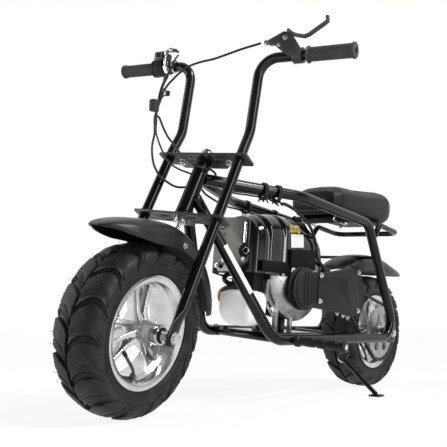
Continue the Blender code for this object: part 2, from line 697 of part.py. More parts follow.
def build_chain_case(bike):
    """The case over the drive: a stack of rings, a neck and a plate with a round disc."""
    y, z = CASE_RING
    rings = turned([(CASE_X, 0.015), (CASE_X, 0.0520), (0.0730, 0.0520), (0.0740, 0.0485), (0.0765, 0.0485),
                    (0.0775, 0.0515), (0.0840, 0.0515), (0.0855, 0.0460), (0.0888, 0.0440), (0.0888, 0.015)],
                   (0, y, z), sides=28)
    outline = rounded([(0.010, 0.228), (0.010, 0.310), (0.046, 0.312), (0.140, 0.322), (0.216, 0.337), (0.252, 0.328),
                       (0.279, 0.292), (0.279, 0.250), (0.254, 0.214), (0.212, 0.209), (0.140, 0.219), (0.046, 0.226)],
                      0.008, 3)
    body = prism(outline, CASE_X + 0.0002, CASE_END - 0.004, side_place)
    cover = [(0.046, 0.240), (0.046, 0.302), (0.140, 0.314), (0.216, 0.329), (0.246, 0.322), (0.271, 0.290),
             (0.271, 0.252), (0.248, 0.221), (0.212, 0.217), (0.140, 0.227)]
    plate = prism(rounded(cover, 0.010, 3), CASE_END - 0.006, CASE_END, side_place)
    disc = turned([(CASE_END - 0.0031, 0.004), (CASE_END - 0.0031, CASE_DISC_R), (CASE_END + 0.0012, CASE_DISC_R),
                   (CASE_END + 0.0020, CASE_DISC_R - 0.002), (CASE_END + 0.0020, 0.004)], (0, *CASE_DISC), sides=24)
    add("chain_case", combined(body, joins=(rings, combined(plate, joins=(disc,)))), bike, "satin_black")


def build_tank(bike):
    """The moulded fuel tank low at the front, with its cap on the far corner."""
    slices = []
    # (x, front, rear, bottom, top)
    for x, front, rear, low, top in (
        (-0.0480, -0.143, -0.0990, 0.186, 0.2280), (-0.0440, -0.156, -0.0950, 0.175, 0.2360),
        (-0.0300, -0.164, -0.0935, TANK_LOW, TANK_TOP), (0.0340, -0.164, -0.0935, TANK_LOW, TANK_TOP),
        (0.0480, -0.156, -0.0950, 0.175, 0.2360), (0.0520, -0.143, -0.0990, 0.186, 0.2280),
    ):
        outline = rounded([(front, top), (rear, top), (rear, low), (front + 0.010, low), (front, low + 0.026)],
                          [0.009, 0.006, 0.010, 0.020, 0.020], 3)
        slices.append([Vector((x, y, z)) for y, z in outline])
    add("fuel_tank", bridged(slices), bike, "tank_white")
    axis = Vector((-0.25, -0.25, 0.94)).normalized()
    foot = Vector((-0.0300, -0.1420, TANK_TOP + 0.0060))
    cap = turned([(0.0, 0.002), (0.0, 0.0120), (0.0060, 0.0120), (0.0065, 0.0155), (0.0200, 0.0150), (0.0220, 0.0130),
                  (0.0220, 0.002)], foot - axis * 0.004, axis, 18)
    above = block((-0.08, -0.20, TANK_TOP - 0.05), (0.02, -0.10, TANK_TOP + SEAT_GAP))
    add("fuel_cap", combined(cap, cuts=(above,)), bike, "cap_black")


def build_engine(bike):
    build_shroud(bike)
    build_crankcase(bike)
    build_chain_case(bike)
    build_tank(bike)
    side = -0.070 - SEAT_GAP
    starter = turned([(side, 0.010), (side, 0.056), (side - 0.020, 0.056), (side - 0.028, 0.046),
                      (side - 0.031, 0.020), (side - 0.031, 0.002)], (0, 0.030, 0.345), sides=20)
    add("recoil_starter", starter, bike, "satin_black")
    behind = 0.100 + SEAT_GAP
    pipe = bar((-0.010, behind, 0.298), (-0.010, 0.152, 0.298), 0.014, 14)
    bowl = bar((-0.010, 0.124, 0.262), (-0.010, 0.124, 0.305), 0.016, 14)
    flange = block((-0.032, behind, 0.281), (0.012, behind + 0.005, 0.315))
    add("carburettor", combined(flange, joins=(pipe, bowl), cuts=(dome(SEAT_GAP, SHROUD_LOW - SEAT_GAP),)),
        bike, "rough_alloy")
    box = prism(rounded([(-0.050, 0.266), (0.035, 0.266), (0.035, 0.334), (-0.050, 0.334)], 0.008, 3),
                0.152 + SEAT_GAP, 0.190, lambda x, z, y: Vector((x, y, z)))
    add("air_filter_box", box, bike, "satin_black")


def build_drive(bike, wheel):
    """The chain with its two sprockets. The rear one turns with the wheel."""
    teeth = 24
    outline = []
    for i in range(teeth):
        for part, r in ((0.0, SPROCKET_R - 0.005), (0.35, SPROCKET_R), (0.65, SPROCKET_R)):
            angle = 2 * math.pi * (i + part) / teeth
            outline.append((REAR_AXLE.y + r * math.cos(angle), REAR_AXLE.z + r * math.sin(angle)))
    disc = prism(outline, CHAIN_X - 0.0015, CHAIN_X + 0.0015, side_place)
    hole = bar((0, REAR_AXLE.y, REAR_AXLE.z), (0.1, REAR_AXLE.y, REAR_AXLE.z), 0.0185 + SEAT_GAP, 24)
    slots = []
    for i in range(6):
        angle = 2 * math.pi * i / 6
        out = Vector((0, math.cos(angle), math.sin(angle)))
        middle = Vector((CHAIN_X, REAR_AXLE.y, REAR_AXLE.z)) + out * 0.048
        slots.append(bar(middle - Vector((0.01, 0, 0)), middle + Vector((0.01, 0, 0)), 0.0125, 8))
    add("rear_sprocket", combined(disc, cuts=(hole, *slots)), wheel, "dark_steel")
    pitch_r = SPROCKET_R + 0.0035
    rear = Vector((0, REAR_AXLE.y, REAR_AXLE.z))
    front = Vector((0, DRIVE_Y, DRIVE_Z))
    span = rear - front
    heading = math.atan2(span.z, span.y)
    tilt = math.acos((pitch_r - DRIVE_R) / span.length)

    def ring(grow):
        points = []
        # (centre, radius, first angle, last angle, pieces)
        for centre, radius, start, end, pieces in (
            (front, DRIVE_R, heading + math.pi - tilt, heading + math.pi + tilt, 8),
            (rear, pitch_r, heading - math.pi + tilt, heading + math.pi - tilt, 16),
        ):
            for i in range(pieces + 1):
                angle = start + (end - start) * i / pieces
                points.append((centre.y + (radius + grow) * math.cos(angle),
                               centre.z + (radius + grow) * math.sin(angle)))
        return points

    outer = prism(ring(0.0040), CHAIN_X - CHAIN_HALF, CHAIN_X + CHAIN_HALF, side_place)
    inner = prism(ring(-0.0025), CHAIN_X - 0.02, CHAIN_X + 0.02, side_place)
    add("drive_chain", combined(outer, cuts=(inner,)), bike, "dark_steel")


def build_wheel(name, centre, body):
    add(f"{name}_tyre", tyre(centre), body, "tyre_rubber", sharp=30)
    add(f"{name}_rim", rim(centre), body, "cast_alloy", sharp=40)


def build_fork(turning):
    half = PLATE_HALF
    wide = PLATE_BULGE_HALF
    # (name, up the stem, behind it, whether the legs pass through)
    for name, up, behind, leg_through in (
        ("lower_plate", LOWER_PLATE_UP, LOWER_BEHIND, True), ("upper_plate", UPPER_PLATE_UP, UPPER_BEHIND, False),
    ):
        # (across, ahead) of the plate's edge
        outline = [(-half, PLATE_AHEAD), (half, PLATE_AHEAD), (half, -behind), (wide, -behind),
                   (wide - 0.012, -PLATE_BULGE), (0.012 - wide, -PLATE_BULGE), (-wide, -behind), (-half, -behind)]
        outline = rounded(outline, [0.003, 0.003, 0.003, 0.006, 0.006, 0.006, 0.006, 0.003], 3)
        plate = prism(outline, up - PLATE_THICK / 2, up + PLATE_THICK / 2, fork)
        cuts = [bar(fork(0, 0, up - 0.02), fork(0, 0, up + 0.02), STEM_R + SEAT_GAP, 20)]
        if leg_through:
            for _, side in SIDES:
                x = side * LEG_HALF
                cuts.append(bar(fork(x, LEG_AHEAD, up - 0.02), fork(x, LEG_AHEAD, up + 0.02), LEG_R + SEAT_GAP, 16))
            for side in (-1, 1):
                cuts.append(prism(rounded([(side * 0.020, 0.006), (side * 0.046, 0.006), (side * 0.046, 0.014),
                                           (side * 0.020, 0.014)][::side], 0.003, 3), up - 0.01, up + 0.01, fork))
        add(name, combined(plate, cuts=cuts), turning, "black_paint")
    for name, side in SIDES:
        x = side * LEG_HALF
        line = []
        radii = []
        top = AXLE_DROP + UPPER_PLATE_UP - PLATE_THICK / 2 - SEAT_GAP
        # (up from the axle, wide half, thin half)
        for up, wide, thin in (
            (-0.0165, 0.0080, LEG_TAB), (-0.012, 0.0130, LEG_TAB), (0.0, 0.0155, LEG_TAB),
            (0.012, 0.0155, LEG_TAB), (0.030, 0.0140, LEG_TAB), (0.055, LEG_R, LEG_R), (top, LEG_R, LEG_R),
        ):
            line.append(fork(x, LEG_AHEAD, up - AXLE_DROP))
            radii.append((wide, thin))
        leg = tube(line, radii, 14)
        through = Vector((0.03, 0, 0))
        middle = FRONT_AXLE + Vector((x, 0, 0))
        hole = bar(middle - through, middle + through, AXLE_R + SEAT_GAP, 16)
        add(f"fork_leg_{name}", combined(leg, cuts=(hole,)), turning, "black_paint")
    guard = GUARD_R - AXLE_DROP + 0.0006
    under = LOWER_PLATE_UP - PLATE_THICK / 2 - SEAT_GAP
    over = UPPER_PLATE_UP + PLATE_THICK / 2 + SEAT_GAP
    stem = [(guard, 0.003), (guard, 0.0100), (guard + 0.003, 0.0100), (guard + 0.003, 0.0045),
            (LOWER_PLATE_UP - 0.018, 0.0045), (LOWER_PLATE_UP - 0.018, 0.013), (under, 0.013), (under, STEM_R),
            (over, STEM_R), (over, 0.014), (UPPER_PLATE_UP + 0.015, 0.014), (UPPER_PLATE_UP + 0.015, 0.003)]
    add("steering_stem", turned(stem, STEM, ALONG, 16), turning, "zinc_steel")


def bar_line(side):
    """The centre line of one handlebar, from the upper plate to its end."""
    x = side * BAR_UPRIGHT_HALF
    foot = fork(side * LEG_HALF, LEG_AHEAD, UPPER_PLATE_UP + PLATE_THICK / 2 + SEAT_GAP)
    return bent([
        (foot, 0.0), (foot + ALONG * 0.014, 0.030), ((x, *BAR_LOW_BEND), BAR_LOW_RADIUS),
        ((x, BAR_TOP_Y, BAR_TOP_Z), BAR_TOP_RADIUS), ((side * (GRIP_END - 0.006), BAR_TOP_Y, BAR_TOP_Z), 0.0),
    ], 15)


def build_bars(turning):
    for name, side in SIDES:
        add(f"handlebar_{name}", tube(bar_line(side), BAR_R, 12), turning, "black_paint")
        end = side * GRIP_END
        start = side * (GRIP_END - GRIP_LENGTH)
        length = GRIP_LENGTH
        profile = [(0, BAR_R + SEAT_GAP), (0, GRIP_R + 0.0030), (0.003, GRIP_R + 0.0030), (0.004, GRIP_R),
                   (length - 0.006, GRIP_R), (length - 0.005, GRIP_R + 0.0018), (length - 0.001, GRIP_R + 0.0018),
                   (length, GRIP_R), (length, 0.003), (length - 0.0055, 0.003), (length - 0.0055, BAR_R + SEAT_GAP)]
        grip = turned(profile, (start, BAR_TOP_Y, BAR_TOP_Z), (end - start, 0, 0), 12, ring=True)
        add(f"grip_{name}", grip, turning, "grip_rubber")
    loose = BAR_R + SEAT_GAP * 3
    clamp = turned([(0, loose), (0, 0.0165), (0.020, 0.0165), (0.020, loose)],
                   (0.171, BAR_TOP_Y, BAR_TOP_Z), (1, 0, 0), 14, ring=True)
    # (across, up) of the lever's bracket
    bracket = [(0.120, 0.7874), (0.1535, 0.8026), (0.1690, 0.8000), (0.1818, 0.7831), (0.1929, 0.7671),
               (0.1763, 0.7581), (0.168, 0.7525), (0.1555, 0.7601), (0.1319, 0.7786), (0.120, 0.7787)]
    body = prism(rounded(bracket, 0.002, 2), LEVER_Y - 0.006, LEVER_Y + 0.006, lambda x, z, y: Vector((x, y, z)))
    neck = block((0.1725, LEVER_Y, 0.754), (0.1895, BAR_TOP_Y - 0.008, 0.767))
    keep = bar((0.10, BAR_TOP_Y, BAR_TOP_Z), (0.25, BAR_TOP_Y, BAR_TOP_Z), loose, 14)
    screw = turned([(0, 0.002), (0, 0.0050), (0.014, 0.0050), (0.014, 0.002)], (0.124, LEVER_Y, 0.783), (-1, 0, 0.18), 8)
    add("brake_lever_clamp", combined(clamp, joins=(neck, body, screw), cuts=(keep,)), turning, "satin_black")
    # (across, up) of the lever's blade
    reach = ((0.1610, 0.8070), (0.175, 0.7965), (0.1991, 0.7895), (0.2078, 0.7905), (0.2276, 0.8030),
             (0.2450, 0.8140), (0.2480, 0.8200), (0.2450, 0.8260))
    line = smooth_line([(x, LEVER_Y, z) for x, z in reach], 0.011)
    blade = tube(line, [(0.0060, 0.0040)] * len(line), 8)
    add("brake_lever", combined(blade, cuts=(prism(rounded(
        [(0.120, 0.7874 + SEAT_GAP), (0.1535, 0.8026 + SEAT_GAP), (0.1690, 0.8000 + SEAT_GAP),
         (0.1818 + SEAT_GAP, 0.7831), (0.17, 0.77), (0.13, 0.77)], 0.002, 2),
        LEVER_Y - 0.02, LEVER_Y + 0.02, lambda x, z, y: Vector((x, y, z))),)), turning, "satin_black")
    housing = turned([(0, loose), (0, 0.019), (0.030, 0.021), (0.034, 0.018), (0.034, loose)],
                     (-0.165, BAR_TOP_Y, BAR_TOP_Z), (-1, 0, 0), 14, ring=True)
    switch = block((-0.196, BAR_TOP_Y - 0.016, BAR_TOP_Z + 0.014), (-0.168, BAR_TOP_Y + 0.012, BAR_TOP_Z + 0.036))
    add("throttle_housing", combined(housing, joins=(switch,)), turning, "satin_black")


def build_guards(turning, bike):
    # (degrees from the front, out of the guard's radius, share of its width)
    front = ((15, -0.0080, 0.86), (22, -0.0020, 0.94), (45, 0.0, 1.0), (70, 0.0, 1.0), (90, 0.002, 1.0),
             (105, 0.005, 0.98), (118, 0.012, 0.92), (127, 0.022, 0.76), (133, 0.031, 0.50))
    rear = ((142, 0.078, 0.62), (135, 0.061, 0.80), (125, 0.045, 0.95), (112, 0.033, 1.0), (98, 0.024, 1.0),
            (82, 0.018, 1.0), (70, 0.019, 0.97), (60, 0.027, 0.90), (51, 0.040, 0.80), (44, 0.054, 0.64))
    for name, axle, rows, body in (
        ("front_fender", FRONT_AXLE, front, turning), ("rear_fender", REAR_AXLE, rear, bike),
    ):
        rows = [(degrees, GUARD_R + out, share) for degrees, out, share in rows]
        guard = sector(axle.y, axle.z, rows, GUARD_HALF, GUARD_THICK, GUARD_DROP, GUARD_LIP)
        if body == bike:
            up = AXLE_Z + GUARD_R + 0.0060
            share = (TOP_REAR[1] - up) / (TOP_REAR[1] - RAIL_Z)
            y = TOP_REAR[0] + (RAIL_REAR_Y - TOP_REAR[0]) * share
            stay = bar((-FRAME_INNER - 0.006, y, up), (FRAME_INNER + 0.006, y, up), 0.0045, 10)
            loops = [tube(frame_line(side), FRAME_R + SEAT_GAP, 12) for _, side in SIDES]
            guard = combined(guard, joins=(stay,), cuts=loops)
        add(name, guard, body, "satin_black", 45)


def build_pegs(bike):
    for name, side in SIDES:
        start = side * (FRAME_HALF + FRAME_R + SEAT_GAP)
        profile = [(0, 0.002), (0, 0.0135), (0.010, 0.0135), (0.013, PEG_R)]
        length = PEG_END - abs(start)
        ribs = 3
        for i in range(ribs):
            base = 0.030 + (length - 0.040) * i / ribs
            step = (length - 0.040) / ribs
            profile += [(base, PEG_R + 0.0015), (base + step * 0.6, PEG_R + 0.0015),
                        (base + step * 0.62, PEG_R), (base + step * 0.98, PEG_R)]
        flange = PEG_R + 0.0040
        profile += [(length - 0.009, flange), (length - 0.002, flange), (length, PEG_R), (length, 0.002)]
        add(f"foot_peg_{name}", turned(profile, (start, PEG_Y, RAIL_Z), (side, 0, 0), 10), bike, "satin_black")


def build_brake(bike, wheel):
    """The rear disc, and the calliper that hangs on a tab from the right dropout."""
    inner, outer = 0.0600, 0.0630
    disc = turned([(-inner, 0.0190), (-inner, 0.0650), (-outer, 0.0650), (-outer, 0.0190)], REAR_AXLE, sides=24, ring=True)
    add("brake_disc", disc, wheel, "zinc_steel")
    y, z = REAR_AXLE.y, REAR_AXLE.z
    calliper = block((-0.0735, y - 0.053, z + 0.050), (-0.0480, y - 0.008, z + 0.083))
    slot = block((-outer - 0.0015, y - 0.15, z - 0.06), (0.0015 - inner, y + 0.06, z + 0.075))
    tab = prism([(y - 0.043, z + 0.020), (y + 0.007, z + 0.020), (y - 0.003, z + 0.083), (y - 0.053, z + 0.083)],
                FRAME_R - FRAME_HALF + 0.0035, -0.0700, side_place)
    axle = bar((-0.13, y, z), (0, y, z), 0.030, 20)
    add("brake_calliper", combined(calliper, joins=(tab,), cuts=(slot, axle)), bike, "rough_alloy")


def build_cables(bike):
    """The cables from the bars to the engine and the rear brake, and the sleeve round the ones along the engine."""
    clear = FRAME_R + CABLE_R + 2 * SEAT_GAP
    loop = [Vector(point) for point in frame_line(-1)]
    beside = []
    for before, point, after in zip(loop, loop[1:], loop[2:]):
        heading = (after - before).normalized()
        if point.y > -0.06 and point.z > 0.22:
            beside.append(point + Vector((0.0, heading.z, -heading.y)) * clear)
    held = []
    for start, end in zip(beside, beside[1:]):
        pieces = math.ceil((end - start).length / 0.035)
        held += [start.lerp(end, i / pieces) for i in range(pieces)]
    held = [point for point in held if point.z > 0.31]
    cable("brake_cable", [
        (0.1120, -0.2590, 0.7795), (0.0650, -0.2700, 0.7733), (0.0049, -0.2850, 0.7616), (-0.0310, -0.2950, 0.7580),
        (-0.0630, -0.2985, 0.7547), (-0.0932, -0.3010, 0.7438), (-0.1125, -0.3050, 0.7290),
        (-0.1225, -0.3080, 0.7190), (-0.1278, -0.3140, 0.7025), (-0.1297, -0.3210, 0.6765),
        (-0.1290, -0.3310, 0.6450), (-0.1277, -0.3345, 0.6279), (-0.1218, -0.3370, 0.6107), (-0.1160, -0.3400, 0.5900),
        (-0.1140, -0.3450, 0.5628), (-0.1048, -0.3500, 0.5374), (-0.0904, -0.3540, 0.5123), (-0.0740, -0.3520, 0.4900),
        (-0.0649, -0.3450, 0.4800), (-0.0580, -0.3140, 0.4690), (-0.0440, -0.2846, 0.4725), (-0.0470, -0.2500, 0.4770),
        (-0.0570, -0.2200, 0.4690), (-0.0640, -0.1850, 0.4630), (-0.0900, -0.1200, 0.4610), *held,
        (-0.1000, REAR_AXLE.y - 0.104, 0.2960), (-0.0925, REAR_AXLE.y - 0.093, 0.2820),
        (-0.0800, REAR_AXLE.y - 0.055, 0.2640),
        (-0.0630, REAR_AXLE.y - 0.031, REAR_AXLE.z + 0.0866),
    ], CABLE_R, 0.020, bike)
    loop = [Vector(point) for point in frame_line(1)]
    along = (loop[1] - loop[0]).normalized()
    inward = Vector((-along.y, along.x, 0.0)).normalized()

    def beside_loop(aside, below):
        """Points along the front of the left loop, inside and under its tube."""
        start = loop[0] + inward * aside - Vector((0.0, 0.0, below))
        return [start + along * far for far in (0.080, 0.125, 0.168)]

    cable("throttle_cable", [
        (-0.1345, -0.2750, 0.8066), (-0.1180, -0.2970, 0.7843), (-0.1134, -0.3080, 0.7627), (-0.1270, -0.3120, 0.7374),
        (-0.1385, -0.3140, 0.7124), (-0.1400, -0.3180, 0.6822), (-0.1345, -0.3255, 0.6450), (-0.1200, -0.3265, 0.6321),
        (-0.1047, -0.3265, 0.6084), (-0.0842, -0.3265, 0.5821), (-0.0634, -0.3265, 0.5633), (-0.0383, -0.3275, 0.5397),
        (-0.0123, -0.3290, 0.5209), (0.0106, -0.3260, 0.5084), (0.0210, -0.3180, 0.5039), (0.0235, -0.3020, 0.5040),
        (0.0180, -0.2850, 0.5060), (0.0120, -0.2650, 0.5035), (0.0060, -0.2500, 0.4950),
        *beside_loop(0.0135, 0.0100), (0.0770, -0.1270, 0.4640), (0.0860, -0.1180, 0.4580),
    ], CABLE_R, 0.014, bike)
    cable("switch_cable", [
        (-0.1415, -0.2945, 0.7480), (-0.1443, -0.3000, 0.7326), (-0.1475, -0.3025, 0.7188), (-0.1468, -0.3060, 0.7000),
        (-0.1440, -0.3110, 0.6822), (-0.1390, -0.3205, 0.6450), (-0.1300, -0.3265, 0.6262), (-0.1236, -0.3300, 0.5985),
        (-0.1093, -0.3320, 0.5748), (-0.0930, -0.3330, 0.5516), (-0.0757, -0.3340, 0.5311), (-0.0572, -0.3340, 0.5156),
        (-0.0385, -0.3280, 0.5041), (-0.0334, -0.3120, 0.5011), (-0.0270, -0.2860, 0.4980), (-0.0185, -0.2620, 0.5010),
        (-0.0050, -0.2420, 0.4880), *beside_loop(0.0050, 0.0170), (0.0730, -0.1310, 0.4600), (0.0800, -0.1180, 0.4520),
    ], WIRE_R, 0.014, bike)
    cable("cable_sleeve", [
        (0.084, -0.1120, 0.4565), (0.078, -0.0900, 0.4600), (0.071, -0.0340, 0.4530), (0.066, 0.0280, 0.4290),
        (0.0665, 0.0580, 0.3950), (0.0655, 0.0760, 0.3520), (0.0620, 0.0980, 0.3380), (0.0540, 0.1280, 0.3260),
        (0.0455, 0.1480, 0.3180), (0.0385, 0.1600, 0.3150),
    ], SLEEVE_R, 0.014, bike)


def lowest(node):
    return min((node.matrix_world @ vertex.co).z for vertex in node.data.vertices)


def set_down(bike, front, rear):
    """Tips and lowers the leaning bike until each tyre's lowest point is on the floor."""
    for _ in range(8):
        bpy.context.view_layer.update()
        ahead, behind = lowest(front), lowest(rear)
        bike.rotation_euler.x += (ahead - behind) / WHEELBASE
        bike.location.z -= (ahead + behind) / 2
    bpy.context.view_layer.update()


def build_stand(bike):
    """The leg goes from its pivot to the floor, so it is drawn once the bike leans."""
    to_bike = bike.matrix_world.inverted()
    floor_up = to_bike.to_3x3() @ Vector((0, 0, 1))
    shift = bike.matrix_world.translation
    foot = to_bike @ Vector((STAND_FOOT[0] + shift.x, STAND_FOOT[1] + shift.y, 0.0))
    sole = foot + floor_up * 0.0025
    folded = Vector((0.16, 1.0, 0.03)).normalized()
    lowered = (sole - STAND_PIVOT).normalized()
    axis = lowered.cross(folded).normalized()
    body = pivot("stand_pivot", STAND_PIVOT, bike)
    body["axis"] = tuple(axis)
    eye = turned([(-0.0060, STAND_BOLT_R + RUN_GAP), (-0.0060, 0.0115), (0.0030, 0.0115), (0.0030, STAND_BOLT_R + RUN_GAP)],
                 STAND_PIVOT, axis, 18, ring=True)
    start = STAND_PIVOT + lowered * 0.0105 - axis * 0.0030
    leg = tube([start, sole + floor_up * 0.003], STAND_R, 12)
    ahead = to_bike.to_3x3() @ Vector((0, 1, 0))
    out = to_bike.to_3x3() @ Vector((1, 0, 0))
    pad = prism(rounded([(-0.014, -0.017), (0.016, -0.017), (0.016, 0.017), (-0.014, 0.017)], 0.006, 3), 0.0, 0.004,
                lambda u, v, w: foot + out * u + ahead * v + floor_up * w)
    bore = turned([(-0.03, STAND_BOLT_R + RUN_GAP), (0.03, STAND_BOLT_R + RUN_GAP)], STAND_PIVOT, axis, 18)
    add("side_stand", combined(eye, joins=(leg, pad), cuts=(bore,)), body, "black_paint")
    top = 0.0240
    pin = turned([(-0.0110, 0.001), (-0.0110, 0.0085), (-0.0066, 0.0085), (-0.0066, STAND_BOLT_R), (top, STAND_BOLT_R),
                  (top, 0.001)], STAND_PIVOT, axis, 14)
    add("stand_bolt", pin, bike, "zinc_steel")
    boss = turned([(0.0038, 0.001), (0.0038, 0.0110), (top - 0.002, 0.0110), (top - 0.002, 0.001)], STAND_PIVOT, axis, 16)
    x, y, z = STAND_PIVOT + axis * 0.0120
    gusset = prism([(x - 0.030, RAIL_Z - 0.004), (x + 0.010, RAIL_Z - 0.004), (x + 0.006, z + 0.002), (x - 0.004, z - 0.001)],
                   y - 0.0040, y + 0.0040, lambda u, v, w: Vector((u, w, v)))
    hole = turned([(-0.03, STAND_BOLT_R + SEAT_GAP), (0.05, STAND_BOLT_R + SEAT_GAP)], STAND_PIVOT, axis, 14)
    cross = bar((-0.1, STAND_PIVOT.y, RAIL_Z), (0.1, STAND_PIVOT.y, RAIL_Z), CROSS_R + SEAT_GAP, 14)
    add("stand_bracket", combined(boss, joins=(gusset,), cuts=(hole, cross)), bike, "black_paint")


def centre_on_floor(bike):
    """Moves the bike so that the middle of its box stands at the origin."""
    bpy.context.view_layer.update()
    points = [node.matrix_world @ vertex.co for node in bpy.data.objects if node.type == "MESH"
              for vertex in node.data.vertices]
    for i in (0, 1):
        places = [point[i] for point in points]
        bike.location[i] -= (min(places) + max(places)) / 2
    bike.location.z -= min(point.z for point in points)


def build():
    for thing in list(bpy.data.objects):
        bpy.data.objects.remove(thing, do_unlink=True)
    bike = pivot("bike", (0, 0, 0))
    bike.rotation_euler = (0.0, LEAN, 0.0)
    turn = Matrix.Rotation(STEER, 3, ALONG).to_quaternion()
    turning = pivot("steering_axis", STEM, bike, turn)
    front_wheel = pivot("front_wheel_axis", FRONT_AXLE, turning)
    rear_wheel = pivot("rear_wheel_axis", REAR_AXLE, bike)
    build_frame(bike)
    plate = DROPOUT_THICK / 2 + SEAT_GAP
    build_axle("rear_axle", REAR_AXLE, bike, AXLE_END, DROPOUT_X + plate, (HUB_HALF + 0.0012, DROPOUT_X - plate))
    build_seat(bike)
    build_engine(bike)
    build_drive(bike, rear_wheel)
    build_wheel("rear", REAR_AXLE, rear_wheel)
    build_wheel("front", FRONT_AXLE, front_wheel)
    build_fork(turning)
    tab = LEG_TAB + SEAT_GAP
    build_axle("front_axle", FRONT_AXLE, turning, AXLE_END, LEG_HALF + tab, (HUB_HALF + 0.0012, LEG_HALF - tab))
    build_bars(turning)
    build_guards(turning, bike)
    build_pegs(bike)
    build_brake(bike, rear_wheel)
    build_cables(bike)
    set_down(bike, bpy.data.objects["front_tyre"], bpy.data.objects["rear_tyre"])
    build_stand(bike)
    centre_on_floor(bike)
    bpy.context.view_layer.update()


build()
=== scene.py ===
"""Looks of the parked minibike: smooth metalwork, lugged tyres, soft seat, cables and a pale studio.

Sizes are in metres on the upright bike with its fork straight: x to the rider's left, y to the rear,
z up. One frame leans a piece as the bike is parked, and another also turns it with the fork.
"""

import json
import logging
import math
from dataclasses import dataclass
from enum import Enum
from typing import Callable, Optional, Sequence

import bpy
from mathutils import Matrix, Vector


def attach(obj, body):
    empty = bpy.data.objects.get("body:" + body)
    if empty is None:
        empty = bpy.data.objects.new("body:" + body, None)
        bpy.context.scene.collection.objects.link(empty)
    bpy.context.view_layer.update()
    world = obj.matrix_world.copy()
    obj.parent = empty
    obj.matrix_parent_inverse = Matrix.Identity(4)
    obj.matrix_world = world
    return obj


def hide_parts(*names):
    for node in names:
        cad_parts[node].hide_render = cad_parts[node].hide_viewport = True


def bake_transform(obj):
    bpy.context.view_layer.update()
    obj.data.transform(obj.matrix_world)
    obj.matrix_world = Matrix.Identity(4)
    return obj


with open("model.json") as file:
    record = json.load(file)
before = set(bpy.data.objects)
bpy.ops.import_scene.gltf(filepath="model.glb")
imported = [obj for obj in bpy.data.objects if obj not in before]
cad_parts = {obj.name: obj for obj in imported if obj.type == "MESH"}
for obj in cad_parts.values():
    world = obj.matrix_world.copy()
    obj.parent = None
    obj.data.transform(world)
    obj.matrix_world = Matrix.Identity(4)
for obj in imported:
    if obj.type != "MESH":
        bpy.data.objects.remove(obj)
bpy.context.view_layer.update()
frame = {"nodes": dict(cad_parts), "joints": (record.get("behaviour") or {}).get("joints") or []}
NODES = frame["nodes"]
JOINTS = {joint["name"]: joint for joint in frame["joints"]}

log = logging.getLogger("minibike")

Thing = bpy.types.Object
Rows = Sequence[Sequence[float]]


class Body(Enum):
    """The bodies that a piece can ride on."""

    CHASSIS = "chassis"
    STEER = "steer"
    FRONT = "front_wheel"
    REAR = "rear_wheel"
    STAND = "side_stand"


class Pattern(Enum):
    """The kinds of small relief that a finish can have."""

    GRAIN = "even grain"
    PEBBLE = "rounded pebbles"
    BRUSHED = "fine lines"
    CAST = "sand-cast skin"


@dataclass(frozen=True)
class Stance:
    """Where the parked bike stands and how its fork is turned."""

    lean: float = math.radians(5.97)
    steer: float = math.radians(11.73)
    rake: float = math.radians(22.07)
    rear_axle: tuple[float, float, float] = (0.0, 0.4432, 0.165)
    front_axle: tuple[float, float, float] = (0.0, -0.4432, 0.165)
    stem: tuple[float, float, float] = (0.0, -0.3598, 0.35)

    def along(self) -> Vector:
        """Gives the direction up the steering axis."""
        return Vector((0.0, math.sin(self.rake), math.cos(self.rake)))

    def ahead(self) -> Vector:
        """Gives the direction forward, square to the steering axis."""
        return Vector((0.0, -math.cos(self.rake), math.sin(self.rake)))

    def fork(self, across: float, ahead: float, up: float) -> Vector:
        """Finds a point of the straight front assembly.

        Args:
            across: distance to the rider's left.
            ahead: distance forward, square to the steering axis.
            up: distance up the steering axis.

        Returns:
            The point on the upright bike.
        """
        return Vector((across, 0.0, 0.0)) + Vector(self.stem) + ahead * self.ahead() + up * self.along()

    def parked(self) -> Matrix:
        """Gives the frame that leans the bike and sets it on its wheels.

        Returns:
            The frame from the upright bike to the bike as it stands.
        """
        axle = Vector(JOINTS["rear_wheel_spin"]["pos_m"])
        back = Matrix.Translation(-Vector(self.rear_axle))
        return Matrix.Translation(axle) @ Matrix.Rotation(self.lean, 4, "Y") @ back

    def turned(self) -> Matrix:
        """Gives the frame that also turns the fork.

        Returns:
            The frame from the upright bike to its turned fork.
        """
        stem = Matrix.Translation(self.stem)
        return self.parked() @ stem @ Matrix.Rotation(self.steer, 4, self.along()) @ stem.inverted()

    def place(self, body: Body) -> Matrix:
        """Gives the frame of a body's pieces."""
        return self.turned() if body in (Body.STEER, Body.FRONT) else self.parked()


STANCE = Stance()


